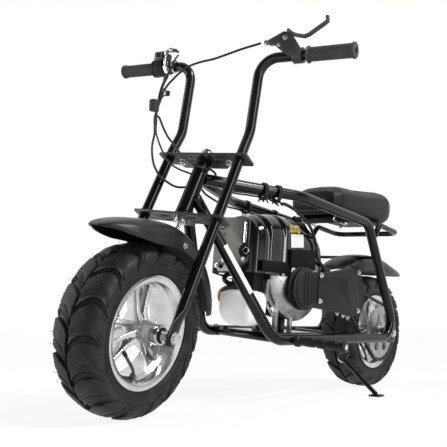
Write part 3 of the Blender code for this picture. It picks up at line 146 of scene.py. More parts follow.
class NodeSheet:
    """A material's nodes, added and linked with few words."""

    def __init__(self, name: str) -> None:
        """Starts a material that holds one Principled shader.

        Args:
            name: the material's name.
        """
        self.material = bpy.data.materials.new(name)
        self.material.use_nodes = True
        self.tree = self.material.node_tree
        self.shader = self.tree.nodes["Principled BSDF"]

    def add(self, kind: str, **inputs: object) -> bpy.types.Node:
        """Adds a node and sets its inputs.

        Args:
            kind: the node's type.
            inputs: values by the input's name, with _ for a space.

        Returns:
            The new node.
        """
        node = self.tree.nodes.new(kind)
        for name, value in inputs.items():
            node.inputs[name.replace("_", " ")].default_value = value
        return node

    def link(self, source: bpy.types.NodeSocket, target: bpy.types.NodeSocket) -> None:
        """Joins an output to an input."""
        self.tree.links.new(source, target)

    def noise(self, place: bpy.types.NodeSocket, scale: float, detail: float) -> bpy.types.NodeSocket:
        """Adds a noise.

        Args:
            place: the coordinates that it reads.
            scale: how many patterns in a metre.
            detail: how many finer layers it has.

        Returns:
            The noise's value.
        """
        node = self.add("ShaderNodeTexNoise", Scale=scale, Detail=detail, Roughness=0.6)
        self.link(place, node.inputs["Vector"])
        return node.outputs["Fac"]

    def spread(self, value: bpy.types.NodeSocket, low: float, high: float, to_low: float,
               to_high: float) -> bpy.types.NodeSocket:
        """Maps a value from one range to another.

        Args:
            value: what is mapped.
            low: the value that becomes to_low.
            high: the value that becomes to_high.
            to_low: the result's first end.
            to_high: the result's other end.

        Returns:
            The mapped value.
        """
        node = self.tree.nodes.new("ShaderNodeMapRange")
        for index, number in enumerate((low, high, to_low, to_high)):
            node.inputs[index + 1].default_value = number
        self.link(value, node.inputs[0])
        return node.outputs[0]

    def mixed(self, share: bpy.types.NodeSocket, first: Sequence[float],
              second: Sequence[float]) -> bpy.types.Node:
        """Adds a mix of two colours.

        Args:
            share: how much of the second shows.
            first: the first colour.
            second: the second colour.

        Returns:
            The mix node. Its colours are inputs 6 and 7, and its result is output 2.
        """
        node = self.tree.nodes.new("ShaderNodeMix")
        node.data_type = "RGBA"
        node.inputs[6].default_value = (*first, 1.0)
        node.inputs[7].default_value = (*second, 1.0)
        self.link(share, node.inputs[0])
        return node


@dataclass(frozen=True)
class Finish:
    """One surface finish: its colour, how it shines and the small relief that it has."""

    name: str
    colour: tuple[float, float, float]
    slot: str
    metallic: float = 0.0
    roughness: tuple[float, float] = (0.4, 0.5)
    darkest: float = 0.75
    lightest: float = 1.2
    mottle: float = 18.0
    grain: float = 900.0
    relief: float = 0.00006
    pattern: Pattern = Pattern.GRAIN
    specular: float = 0.5
    coat: float = 0.0
    sheen: float = 0.0
    # how much the edges are lightened: partly wear, partly a painted highlight along the edges
    edge_wear_and_highlight: float = 0.0
    see_through: float = 0.0

    def material(self) -> bpy.types.Material:
        """Makes the material, or gives the one made before.

        Returns:
            The material.
        """
        found = bpy.data.materials.get(self.name)
        if found:
            return found
        sheet = NodeSheet(self.name)
        shader = sheet.shader
        shader.inputs["Metallic"].default_value = self.metallic
        shader.inputs["Specular IOR Level"].default_value = self.specular
        shader.inputs["Coat Weight"].default_value = self.coat
        shader.inputs["Coat Roughness"].default_value = 0.06
        shader.inputs["Sheen Weight"].default_value = self.sheen
        shader.inputs["Transmission Weight"].default_value = self.see_through
        place = sheet.add("ShaderNodeTexCoord").outputs["Object"]
        blotch = sheet.noise(place, self.mottle, 5.0)
        dark = [self.darkest * c for c in self.colour]
        light = [min(1.0, self.lightest * c) for c in self.colour]
        tone = sheet.mixed(sheet.spread(blotch, 0.3, 0.7, 0.0, 1.0), dark, light)
        relief = self.small_relief(sheet, place)
        colour = tone.outputs[2]
        # edges lightened both as wear and as a painted highlight
        if self.edge_wear_and_highlight > 0.0:
            colour = self.worn_and_highlit(sheet, colour)
        sheet.link(colour, shader.inputs["Base Color"])
        sheet.link(sheet.spread(relief, 0.25, 0.75, *self.roughness), shader.inputs["Roughness"])
        bump = sheet.add("ShaderNodeBump", Strength=1.0, Distance=self.relief)
        sheet.link(relief, bump.inputs["Height"])
        sheet.link(bump.outputs["Normal"], shader.inputs["Normal"])
        return sheet.material

    def small_relief(self, sheet: NodeSheet, place: bpy.types.NodeSocket) -> bpy.types.NodeSocket:
        """Adds the finish's fine pattern.

        Args:
            sheet: the material's nodes.
            place: the piece's own coordinates.

        Returns:
            The height of the pattern, from 0 to 1.
        """
        if self.pattern is Pattern.PEBBLE:
            cells = sheet.add("ShaderNodeTexVoronoi", Scale=self.grain)
            cells.feature = "SMOOTH_F1"
            sheet.link(place, cells.inputs["Vector"])
            return cells.outputs["Distance"]
        if self.pattern is Pattern.BRUSHED:
            stretch = sheet.add("ShaderNodeMapping", Scale=(1.0, 0.06, 1.0))
            sheet.link(place, stretch.inputs["Vector"])
            return sheet.noise(stretch.outputs["Vector"], self.grain, 3.0)
        return sheet.noise(place, self.grain, 8.0 if self.pattern is Pattern.CAST else 3.0)

    def worn_and_highlit(self, sheet: NodeSheet, colour: bpy.types.NodeSocket) -> bpy.types.NodeSocket:
        """Lightens the finish along its edges: partly wear where it rubs, partly a painted highlight along
        the edges.

        Args:
            sheet: the material's nodes.
            colour: the finish's colour away from its edges.

        Returns:
            The colour with its edges lightened.
        """
        soft = sheet.add("ShaderNodeBevel", Radius=0.0011)
        soft.samples = 4
        plain = sheet.add("ShaderNodeNewGeometry")
        across = sheet.tree.nodes.new("ShaderNodeVectorMath")
        across.operation = "DOT_PRODUCT"
        sheet.link(soft.outputs["Normal"], across.inputs[0])
        sheet.link(plain.outputs["Normal"], across.inputs[1])
        edge = sheet.spread(across.outputs["Value"], 0.985, 0.9, 0.0, self.edge_wear_and_highlight)
        # the lighter edge colour is partly wear and partly a painted highlight
        mix = sheet.mixed(edge, self.colour, [min(1.0, 0.1 + 2.0 * c) for c in self.colour])
        sheet.link(colour, mix.inputs[6])
        return mix.outputs[2]


TUBE_PAINT = Finish("tube_paint", (0.0027, 0.0027, 0.00282), "black_paint", roughness=(0.13, 0.22),
                    relief=0.00002, grain=420.0, specular=0.3, edge_wear_and_highlight=0.12)
PLATE_PAINT = Finish("plate_paint", (0.026, 0.026, 0.027), "black_paint", roughness=(0.32, 0.46),
                     relief=0.00004, specular=0.45, edge_wear_and_highlight=0.8)
BAR_PAINT = Finish("bar_paint", (0.0085, 0.0085, 0.009), "black_paint", roughness=(0.16, 0.26),
                   relief=0.00002, grain=420.0, specular=0.34, edge_wear_and_highlight=0.1)
MOULDED_BLACK = Finish("moulded_black", (0.008, 0.008, 0.0084), "satin_black", roughness=(0.38, 0.54),
                       grain=1500.0, relief=0.00005, specular=0.22, edge_wear_and_highlight=0.5)
GUARD_PLASTIC = Finish("guard_plastic", (0.0085, 0.0085, 0.009), "satin_black", roughness=(0.3, 0.44),
                       grain=1800.0, relief=0.00005, specular=0.32, edge_wear_and_highlight=0.3)
LEVER_METAL = Finish("lever_metal", (0.03, 0.03, 0.031), "satin_black", roughness=(0.34, 0.46),
                     relief=0.00004, edge_wear_and_highlight=0.5)
TYRE_RUBBER = Finish("tyre_rubber_lugged", (0.0085, 0.0085, 0.0085), "tyre_rubber", roughness=(0.42, 0.66),
                     darkest=0.45, lightest=2.0, mottle=46.0, grain=300.0, relief=0.0007,
                     specular=0.26, sheen=0.02)
GRIP_RUBBER = Finish("grip_rubber_ribbed", (0.036, 0.036, 0.037), "grip_rubber", roughness=(0.6, 0.8),
                     grain=1400.0, relief=0.00012, specular=0.35, pattern=Pattern.PEBBLE)
CABLE_SKIN = Finish("cable_skin", (0.011, 0.011, 0.011), "cable_black", roughness=(0.34, 0.48),
                    relief=0.00003, grain=700.0, specular=0.3)
CAST_DARK = Finish("cast_dark_skin", (0.01, 0.01, 0.01), "cast_dark", metallic=0.2,
                   roughness=(0.5, 0.7), specular=0.25, pattern=Pattern.CAST, grain=500.0, relief=0.0003)
POLISHED_ALLOY = Finish("polished_alloy", (0.64, 0.64, 0.65), "cast_alloy", metallic=1.0,
                        roughness=(0.13, 0.25), darkest=0.84, lightest=1.1, mottle=30.0,
                        grain=240.0, relief=0.0001, pattern=Pattern.CAST)
ROUGH_ALLOY = Finish("rough_alloy_skin", (0.46, 0.46, 0.46), "rough_alloy", metallic=1.0,
                     roughness=(0.3, 0.5), darkest=0.55, lightest=1.35, mottle=42.0,
                     grain=620.0, relief=0.0003, pattern=Pattern.CAST)
ZINC = Finish("zinc_plate", (0.62, 0.62, 0.62), "zinc_steel", metallic=1.0, roughness=(0.2, 0.36),
              darkest=0.75, grain=800.0, relief=0.00004, pattern=Pattern.BRUSHED)
CHAIN_STEEL = Finish("chain_steel", (0.05, 0.05, 0.05), "dark_steel", metallic=0.8,
                     roughness=(0.34, 0.55), darkest=0.5, mottle=120.0, relief=0.00008)
SPROCKET_STEEL = Finish("sprocket_steel", (0.42, 0.42, 0.42), "dark_steel", metallic=1.0,
                        roughness=(0.34, 0.5), darkest=0.7, mottle=90.0, relief=0.0001,
                        pattern=Pattern.CAST)
SHROUD_GLOSS = Finish("shroud_lacquer", (0.0045, 0.0045, 0.005), "shroud_gloss", roughness=(0.1, 0.18),
                      relief=0.00009, grain=60.0, specular=0.45, coat=0.35)
SHROUD_MATT = Finish("shroud_matt", (0.0042, 0.0042, 0.0042), "shroud_gloss", roughness=(0.55, 0.7),
                     relief=0.00006, grain=1500.0, specular=0.1)
PANEL_GREY = Finish("guard_panel", (0.095, 0.095, 0.083), "panel_grey", metallic=0.35,
                    roughness=(0.34, 0.48), darkest=0.85, relief=0.00004, grain=1100.0)
TANK_WHITE = Finish("tank_moulding", (0.88, 0.88, 0.87), "tank_white", roughness=(0.42, 0.55),
                    darkest=0.93, lightest=1.1, mottle=26.0, grain=1300.0, relief=0.00006,
                    specular=0.35)
CAP_BLACK = Finish("cap_ribbed", (0.018, 0.018, 0.018), "satin_black", roughness=(0.45, 0.6), edge_wear_and_highlight=0.3)
SEAT_VINYL = Finish("seat_cover", (0.0068, 0.0068, 0.0072), "seat_vinyl", roughness=(0.4, 0.56),
                    darkest=0.75, lightest=1.4, mottle=14.0, grain=620.0, relief=0.00018,
                    pattern=Pattern.PEBBLE, specular=0.22, sheen=0.0)
SEAM_THREAD = Finish("seat_thread", (0.03, 0.03, 0.03), "seat_vinyl", roughness=(0.6, 0.8))
WHITE_LABEL = Finish("blank_white_label", (0.6, 0.6, 0.59), "shroud_gloss", roughness=(0.35, 0.5),
                     darkest=0.86, lightest=1.1, mottle=160.0, relief=0.00003)
GOLD_LABEL = Finish("blank_gold_label", (0.5, 0.36, 0.12), "shroud_gloss", roughness=(0.3, 0.45),
                    metallic=0.3, darkest=0.6, lightest=1.25, mottle=190.0, relief=0.00003)
VALVE_RUBBER = Finish("valve_rubber", (0.06, 0.042, 0.03), "tyre_rubber", roughness=(0.45, 0.6),
                      mottle=90.0, relief=0.00005)
FUEL_TUBE = Finish("fuel_tube", (0.52, 0.38, 0.14), "tank_white", roughness=(0.2, 0.3), see_through=0.35,
                   mottle=60.0, relief=0.00004)
OLIVE_PLASTIC = Finish("switch_plastic", (0.085, 0.085, 0.068), "satin_black", roughness=(0.4, 0.55),
                       grain=1400.0, relief=0.00006, edge_wear_and_highlight=0.4)
BRIGHT_PLATING = Finish("bright_plating", (0.74, 0.74, 0.75), "zinc_steel", metallic=1.0,
                        roughness=(0.07, 0.16), darkest=0.85, grain=300.0, relief=0.00002)


class Bench:
    """The shaping tools that every sub-assembly uses."""

    @staticmethod
    def clear() -> None:
        """Goes to object mode with nothing selected."""
        if bpy.context.mode != "OBJECT":
            bpy.ops.object.mode_set(mode="OBJECT")
        bpy.ops.object.select_all(action="DESELECT")

    @staticmethod
    def take(piece: Thing) -> None:
        """Selects one piece alone.

        Args:
            piece: the piece.
        """
        Bench.clear()
        bpy.context.view_layer.objects.active = piece
        piece.select_set(True)

    @staticmethod
    def edit(piece: Thing, mode: str = "VERT") -> None:
        """Opens a piece in edit mode with all of it selected.

        Args:
            piece: the piece.
            mode: VERT, EDGE or FACE, what is selected.
        """
        Bench.take(piece)
        bpy.ops.object.mode_set(mode="EDIT")
        bpy.ops.mesh.select_mode(type=mode)
        bpy.ops.mesh.select_all(action="SELECT")

    @staticmethod
    def named(name: str) -> Thing:
        """Names the piece that was just added and sets its place in its mesh.

        Args:
            name: the piece's name.

        Returns:
            The piece.
        """
        piece = bpy.context.object
        piece.name = name
        piece.data.name = name
        piece.data.transform(piece.matrix_world)
        piece.matrix_world = Matrix.Identity(4)
        return piece

    @staticmethod
    def line(name: str, points: Sequence[Sequence[float]]) -> Thing:
        """Draws a chain of edges by extruding one vertex from point to point.

        Args:
            name: the piece's name.
            points: the places that it goes through.

        Returns:
            The chain, open in edit mode.
        """
        Bench.clear()
        bpy.ops.mesh.primitive_plane_add(size=0.001)
        piece = Bench.named(name)
        bpy.ops.object.mode_set(mode="EDIT")
        bpy.ops.mesh.select_mode(type="VERT")
        bpy.ops.mesh.select_all(action="SELECT")
        bpy.ops.mesh.merge(type="CENTER")
        bpy.ops.transform.translate(value=tuple(points[0]))
        for start, end in zip(points, points[1:]):
            step = tuple(Vector(end) - Vector(start))
            bpy.ops.mesh.extrude_vertices_move(TRANSFORM_OT_translate={"value": step})
        return piece

    @staticmethod
    def close_line(piece: Thing) -> None:
        """Joins the two ends of an open chain in edit mode.

        Args:
            piece: the chain.
        """
        bpy.ops.mesh.select_all(action="DESELECT")
        bpy.ops.object.mode_set(mode="OBJECT")
        ends = [0, len(piece.data.vertices) - 1]
        for index in ends:
            piece.data.vertices[index].select = True
        bpy.ops.object.mode_set(mode="EDIT")
        bpy.ops.mesh.edge_face_add()

    @staticmethod
    def turned(name: str, profile: Rows, centre: Sequence[float], axis: Sequence[float] = (1, 0, 0),
               steps: int = 48, ring: bool = False) -> Thing:
        """Spins a profile about an axis.

        Args:
            name: the piece's name.
            profile: rows of (place along the axis, radius).
            centre: where the axis starts.
            axis: its direction.
            steps: how many faces go round.
            ring: whether the profile closes on itself.

        Returns:
            The turned piece.
        """
        rows = [(radius, 0.0, along) for along, radius in profile]
        piece = Bench.line(name, rows)
        if ring:
            Bench.close_line(piece)
        bpy.ops.mesh.select_all(action="SELECT")
        bpy.ops.mesh.spin(steps=steps, angle=2 * math.pi, center=(0, 0, 0), axis=(0, 0, 1))
        bpy.ops.mesh.select_all(action="SELECT")
        bpy.ops.mesh.remove_doubles(threshold=1e-6)
        bpy.ops.mesh.normals_make_consistent(inside=False)
        Bench.clear()
        turn = Vector(axis).to_track_quat("Z", "Y").to_matrix().to_4x4()
        piece.data.transform(Matrix.Translation(Vector(centre)) @ turn)
        return piece

    @staticmethod
    def plate(name: str, corners: Sequence[Sequence[float]], push: Sequence[float],
              bevel: float = 0.0004) -> Thing:
        """Cuts a flat outline and gives it thickness.

        Args:
            name: the piece's name.
            corners: the outline's points, in order.
            push: how far and where to the face is extruded.
            bevel: how far its edges are broken.

        Returns:
            The plate.
        """
        piece = Bench.line(name, corners)
        Bench.close_line(piece)
        bpy.ops.mesh.select_all(action="SELECT")
        bpy.ops.mesh.edge_face_add()
        bpy.ops.mesh.select_all(action="SELECT")
        bpy.ops.mesh.extrude_region_move(TRANSFORM_OT_translate={"value": tuple(push)})
        bpy.ops.mesh.select_all(action="SELECT")
        bpy.ops.mesh.normals_make_consistent(inside=False)
        if bevel > 0.0:
            bpy.ops.mesh.edges_select_sharp(sharpness=math.radians(25))
            bpy.ops.mesh.bevel(offset=bevel, segments=2, clamp_overlap=True)
        Bench.clear()
        return piece

    @staticmethod
    def rod(name: str, start: Sequence[float], end: Sequence[float], radius: float, sides: int = 24,
            bevel: float = 0.0004) -> Thing:
        """Adds a round bar between two points with its ends broken.

        Args:
            name: the piece's name.
            start: the middle of one end.
            end: the middle of the other.
            radius: its radius.
            sides: how many faces go round.
            bevel: how far the ends' edges are broken.

        Returns:
            The bar.
        """
        Bench.clear()
        start, end = Vector(start), Vector(end)
        turn = (end - start).to_track_quat("Z", "Y").to_euler()
        bpy.ops.mesh.primitive_cylinder_add(vertices=sides, radius=radius, depth=(end - start).length,
                                            location=(start + end) / 2, rotation=turn)
        piece = Bench.named(name)
        if bevel > 0.0:
            Bench.edit(piece, "EDGE")
            bpy.ops.mesh.select_all(action="DESELECT")
            bpy.ops.mesh.edges_select_sharp(sharpness=math.radians(62 if sides > 6 else 25))
            bpy.ops.mesh.bevel(offset=bevel, segments=2, clamp_overlap=True)
            Bench.clear()
        return piece

    @staticmethod
    def block(name: str, low: Sequence[float], high: Sequence[float], bevel: float = 0.001) -> Thing:
        """Adds a block between two corners with its edges rounded.

        Args:
            name: the piece's name.
            low: the lowest corner.
            high: the highest corner.
            bevel: how far its edges are rounded.

        Returns:
            The block.
        """
        Bench.clear()
        low, high = Vector(low), Vector(high)
        bpy.ops.mesh.primitive_cube_add(size=1.0, location=(low + high) / 2)
        bpy.context.object.scale = high - low
        bpy.context.view_layer.update()
        piece = Bench.named(name)
        Bench.edit(piece, "EDGE")
        bpy.ops.mesh.bevel(offset=bevel, segments=3, clamp_overlap=True)
        Bench.clear()
        return piece

    @staticmethod
    def hose(name: str, points: Sequence[Sequence[float]], radius: float, round_by: int = 8) -> Thing:
        """Draws a round tube along a line of points, with both ends closed.

        Args:
            name: the piece's name.
            points: the line that its middle follows.
            radius: its radius.
            round_by: how finely it is rounded.

        Returns:
            The tube as a mesh.
        """
        Bench.clear()
        curve = bpy.data.curves.new(name, "CURVE")
        curve.dimensions = "3D"
        curve.bevel_depth = radius
        curve.bevel_resolution = round_by
        curve.use_fill_caps = True
        spline = curve.splines.new("POLY")
        spline.points.add(len(points) - 1)
        for place, point in zip(spline.points, points):
            place.co = (*point, 1.0)
        piece = bpy.data.objects.new(name, curve)
        bpy.context.scene.collection.objects.link(piece)
        Bench.take(piece)
        bpy.ops.object.convert(target="MESH")
        piece = bpy.context.object
        piece.name = name
        Bench.edit(piece)
        bpy.ops.mesh.remove_doubles(threshold=1e-6)
        bpy.ops.mesh.normals_make_consistent(inside=False)
        Bench.clear()
        return piece

    @staticmethod
    def hoop(name: str, centre: Sequence[float], axis: Sequence[float], radius: float,
             thick: float, steps: int = 36) -> Thing:
        """Adds a round ring of round wire.

        Args:
            name: the piece's name.
            centre: the ring's middle.
            axis: the direction square to it.
            radius: from its middle to the wire's middle.
            thick: the wire's radius.
            steps: how many faces go round the ring.

        Returns:
            The ring.
        """
        Bench.clear()
        turn = Vector(axis).to_track_quat("Z", "Y").to_euler()
        bpy.ops.mesh.primitive_torus_add(location=centre, rotation=turn, major_radius=radius,
                                         minor_radius=thick, major_segments=steps, minor_segments=10)
        return Bench.named(name)

    @staticmethod
    def joined(name: str, pieces: Sequence[Thing]) -> Thing:
        """Joins pieces into one.

        Args:
            name: the joined piece's name.
            pieces: what it is made of.

        Returns:
            The joined piece.
        """
        Bench.clear()
        for piece in pieces:
            piece.select_set(True)
        bpy.context.view_layer.objects.active = pieces[0]
        if len(pieces) > 1:
            bpy.ops.object.join()
        result = bpy.context.object
        result.name = name
        result.data.name = name
        Bench.clear()
        return result

    @staticmethod
    def copies(name: str, piece: Thing, places: Sequence[Matrix]) -> Thing:
        """Sets copies of one piece, each with its own mesh, and joins them.

        Args:
            name: the joined piece's name.
            piece: what is copied. It is used up.
            places: where each copy goes from.

        Returns:
            The joined copies.
        """
        made = []
        for place in places:
            mesh = piece.data.copy()
            mesh.transform(place)
            copy = bpy.data.objects.new(name, mesh)
            bpy.context.scene.collection.objects.link(copy)
            made.append(copy)
        bpy.data.objects.remove(piece, do_unlink=True)
        return Bench.joined(name, made)

    @staticmethod
    def apply(piece: Thing, kind: str, **settings: object) -> None:
        """Adds a modifier with settings and applies it.

        Args:
            piece: what it works on.
            kind: the modifier's type.
            settings: its settings by name.
        """
        Bench.take(piece)
        modifier = piece.modifiers.new("shape", kind)
        for name, value in settings.items():
            setattr(modifier, name, value)
        bpy.ops.object.modifier_apply(modifier=modifier.name)
        Bench.clear()

    @staticmethod
    def cut(piece: Thing, cutters: Sequence[Thing]) -> None:
        """Cuts other shapes out of a piece and removes them.

        Args:
            piece: what is cut.
            cutters: the shapes that are taken away.
        """
        for cutter in cutters:
            Bench.apply(piece, "BOOLEAN", operation="DIFFERENCE", solver="EXACT", object=cutter)
            bpy.data.objects.remove(cutter, do_unlink=True)

    @staticmethod
    def moved(piece: Thing, rule: Callable[[Vector], Vector]) -> Thing:
        """Moves each vertex by a rule.

        Args:
            piece: what is shaped.
            rule: gives a vertex's new place from its old one.

        Returns:
            The piece.
        """
        for vertex in piece.data.vertices:
            vertex.co = rule(vertex.co.copy())
        return piece

    @staticmethod
    def mended(piece: Thing) -> None:
        """Merges doubled vertices and turns the faces of a closed piece outwards.

        Args:
            piece: the piece.
        """
        Bench.edit(piece)
        bpy.ops.mesh.remove_doubles(threshold=1e-6)
        bpy.ops.mesh.normals_make_consistent(inside=False)
        Bench.clear()

    @staticmethod
    def solid(name: str, node: str, back: Optional[Matrix] = None) -> Thing:
        """Copies a node's solid and merges the copy.

        Args:
            name: the copy's name.
            node: the solid's name.
            back: how the copy is moved before it is merged.

        Returns:
            The copy.
        """
        piece = bpy.data.objects.new(name, NODES[node].data.copy())
        bpy.context.scene.collection.objects.link(piece)
        if back is not None:
            piece.data.transform(back)
        Bench.mended(piece)
        return piece


def smooth_line(points: Sequence[Sequence[float]], step: float) -> list[Vector]:
    """Sets points evenly along a smooth curve through the given ones.

    Args:
        points: what the curve passes through.
        step: about how far apart the new points are.

    Returns:
        The new points.
    """
    given = [Vector(point) for point in points]
    ends = [given[0] * 2 - given[1], *given, given[-1] * 2 - given[-2]]
    fine = []
    for before, start, end, after in zip(ends, ends[1:], ends[2:], ends[3:]):
        for i in range(20):
            t = i / 20
            pull = (end - before) * t + (before * 2 - start * 5 + end * 4 - after) * t ** 2
            fine.append(start + (pull + (start * 3 - before - end * 3 + after) * t ** 3) / 2)
    fine.append(given[-1])
    lengths = [0.0]
    for first, second in zip(fine, fine[1:]):
        lengths.append(lengths[-1] + (second - first).length)
    count = max(2, round(lengths[-1] / step))
    result = []
    place = 0
    for i in range(count + 1):
        wanted = lengths[-1] * i / count
        while place < len(fine) - 2 and lengths[place + 1] < wanted:
            place += 1
        share = (wanted - lengths[place]) / (lengths[place + 1] - lengths[place])
        result.append(fine[place].lerp(fine[place + 1], share))
    return result


def eased(rows: Rows, share: float) -> list[float]:
    """Reads a table of numbers as one smooth curve.

    Args:
        rows: the table, evenly spaced along the curve.
        share: from 0 at its first row to 1 at its last.

    Returns:
        The numbers at that place.
    """
    far = min(max(share, 0.0), 1.0) * (len(rows) - 1)
    place = min(int(far), len(rows) - 2)
    t = far - place
    first, second = rows[place], rows[place + 1]
    before, after = rows[max(place - 1, 0)], rows[min(place + 2, len(rows) - 1)]
    return [b + 0.5 * t * (c - a + t * (2 * a - 5 * b + 4 * c - d + t * (3 * (b - c) + d - a)))
            for a, b, c, d in zip(before, first, second, after)]


def bent_line(rows: Sequence[tuple[Sequence[float], float]], step: float = 5.0) -> list[Vector]:
    """Draws a line through corners with an arc at each.

    Args:
        rows: each corner with its bend radius.
        step: the angle between the points of an arc, in degrees.

    Returns:
        The line's points.
    """
    line = [Vector(rows[0][0])]
    for before, (place, radius), after in zip(rows, rows[1:], rows[2:]):
        corner = Vector(place)
        back = (Vector(before[0]) - corner).normalized()
        on = (Vector(after[0]) - corner).normalized()
        turn = math.pi - back.angle(on)
        reach = radius * math.tan(turn / 2)
        centre = corner + (back + on).normalized() * (radius / math.cos(turn / 2))
        start = corner + back * reach - centre
        axis = start.cross(corner + on * reach - centre).normalized()
        pieces = max(2, math.ceil(math.degrees(turn) / step))
        line += [centre + Matrix.Rotation(turn * i / pieces, 3, axis) @ start for i in range(pieces + 1)]
    line.append(Vector(rows[-1][0]))
    return line


def keep(piece: Thing, body: Body, finish: Finish, *nodes: str, sharp: float = 35.0) -> Thing:
    """Sets a finished piece on the parked bike, dresses it and lets it ride.

    Args:
        piece: a piece drawn on the upright bike.
        body: the body that it moves with.
        finish: what it is dressed in.
        nodes: the solids that it stands for.
        sharp: the angle in degrees over which an edge stays sharp.

    Returns:
        The piece.
    """
    piece.data.transform(STANCE.place(body) @ piece.matrix_world)
    piece.matrix_world = Matrix.Identity(4)
    return dressed(piece, body, finish, *nodes, sharp=sharp)


def dressed(piece: Thing, body: Body, finish: Finish, *nodes: str, sharp: float = 35.0) -> Thing:
    """Dresses a piece that is already in its parked place and lets it ride.

    Args:
        piece: the piece.
        body: the body that it moves with.
        finish: what it is dressed in.
        nodes: the solids that it stands for.
        sharp: the angle in degrees over which an edge stays sharp.

    Returns:
        The piece.
    """
    Bench.take(piece)
    bpy.ops.object.shade_smooth_by_angle(angle=math.radians(sharp))
    Bench.clear()
    piece.data.materials.clear()
    piece.data.materials.append(finish.material())
    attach(piece, body.value)
    if nodes:
        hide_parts(*nodes)
    log.info("%s: %d faces on %s", piece.name, len(piece.data.polygons), body.value)
    return piece


@dataclass
class Fastener:
    """A hexagon nut or bolt head on its washer."""

    across: float = 0.01
    height: float = 0.005
    washer: float = 0.0068
    stud: float = 0.0

    def build(self, name: str, seat: Sequence[float], axis: Sequence[float]) -> Thing:
        """Makes the fastener.

        Args:
            name: the piece's name.
            seat: where its washer lies.
            axis: the direction out of the surface.

        Returns:
            The joined washer, hexagon and stud end.
        """
        seat, axis = Vector(seat), Vector(axis).normalized()
        washer = Bench.rod(name, seat, seat + axis * 0.0011, self.washer, 24, 0.0003)
        foot = seat + axis * 0.0009
        corner = self.across / math.sqrt(3)
        head = Bench.rod(name, foot, foot + axis * self.height, corner, 6, 0.0005)
        top = foot + axis * (self.height - 0.0003)
        end = Bench.rod(name, top, top + axis * (0.0006 + self.stud), self.across * 0.28, 16, 0.0004)
        return Bench.joined(name, [washer, head, end])

    def place(self, name: str, seats: Rows, axis: Sequence[float], body: Body,
              finish: Finish = ZINC) -> Thing:
        """Sets the fastener at each seat as one piece.

        Args:
            name: the piece's name.
            seats: the points that the washers lie on.
            axis: the direction out of the surface.
            body: what they ride on.
            finish: what they are dressed in.

        Returns:
            The piece.
        """
        one = self.build(name, (0, 0, 0), axis)
        return keep(Bench.copies(name, one, [Matrix.Translation(seat) for seat in seats]), body, finish,
                    sharp=30)


@dataclass
class CadCoat:
    """Solids whose shape is right, shown as smooth copies with broken edges and a finish."""

    body: Body
    finish: Finish
    nodes: tuple[str, ...]
    bevel: float = 0.0004
    sharp: float = 32.0

    def build(self) -> None:
        """Copies, merges, softens and dresses each solid."""
        for node in self.nodes:
            piece = Bench.solid(f"{node}_shown", node)
            Bench.edit(piece)
            bpy.ops.mesh.dissolve_limited(angle_limit=math.radians(0.4))
            Bench.clear()
            if self.bevel > 0.0:
                Bench.apply(piece, "BEVEL", width=self.bevel, segments=2, limit_method="ANGLE",
                            angle_limit=math.radians(38), use_clamp_overlap=True, harden_normals=False)
            dressed(piece, self.body, self.finish, node, sharp=self.sharp)


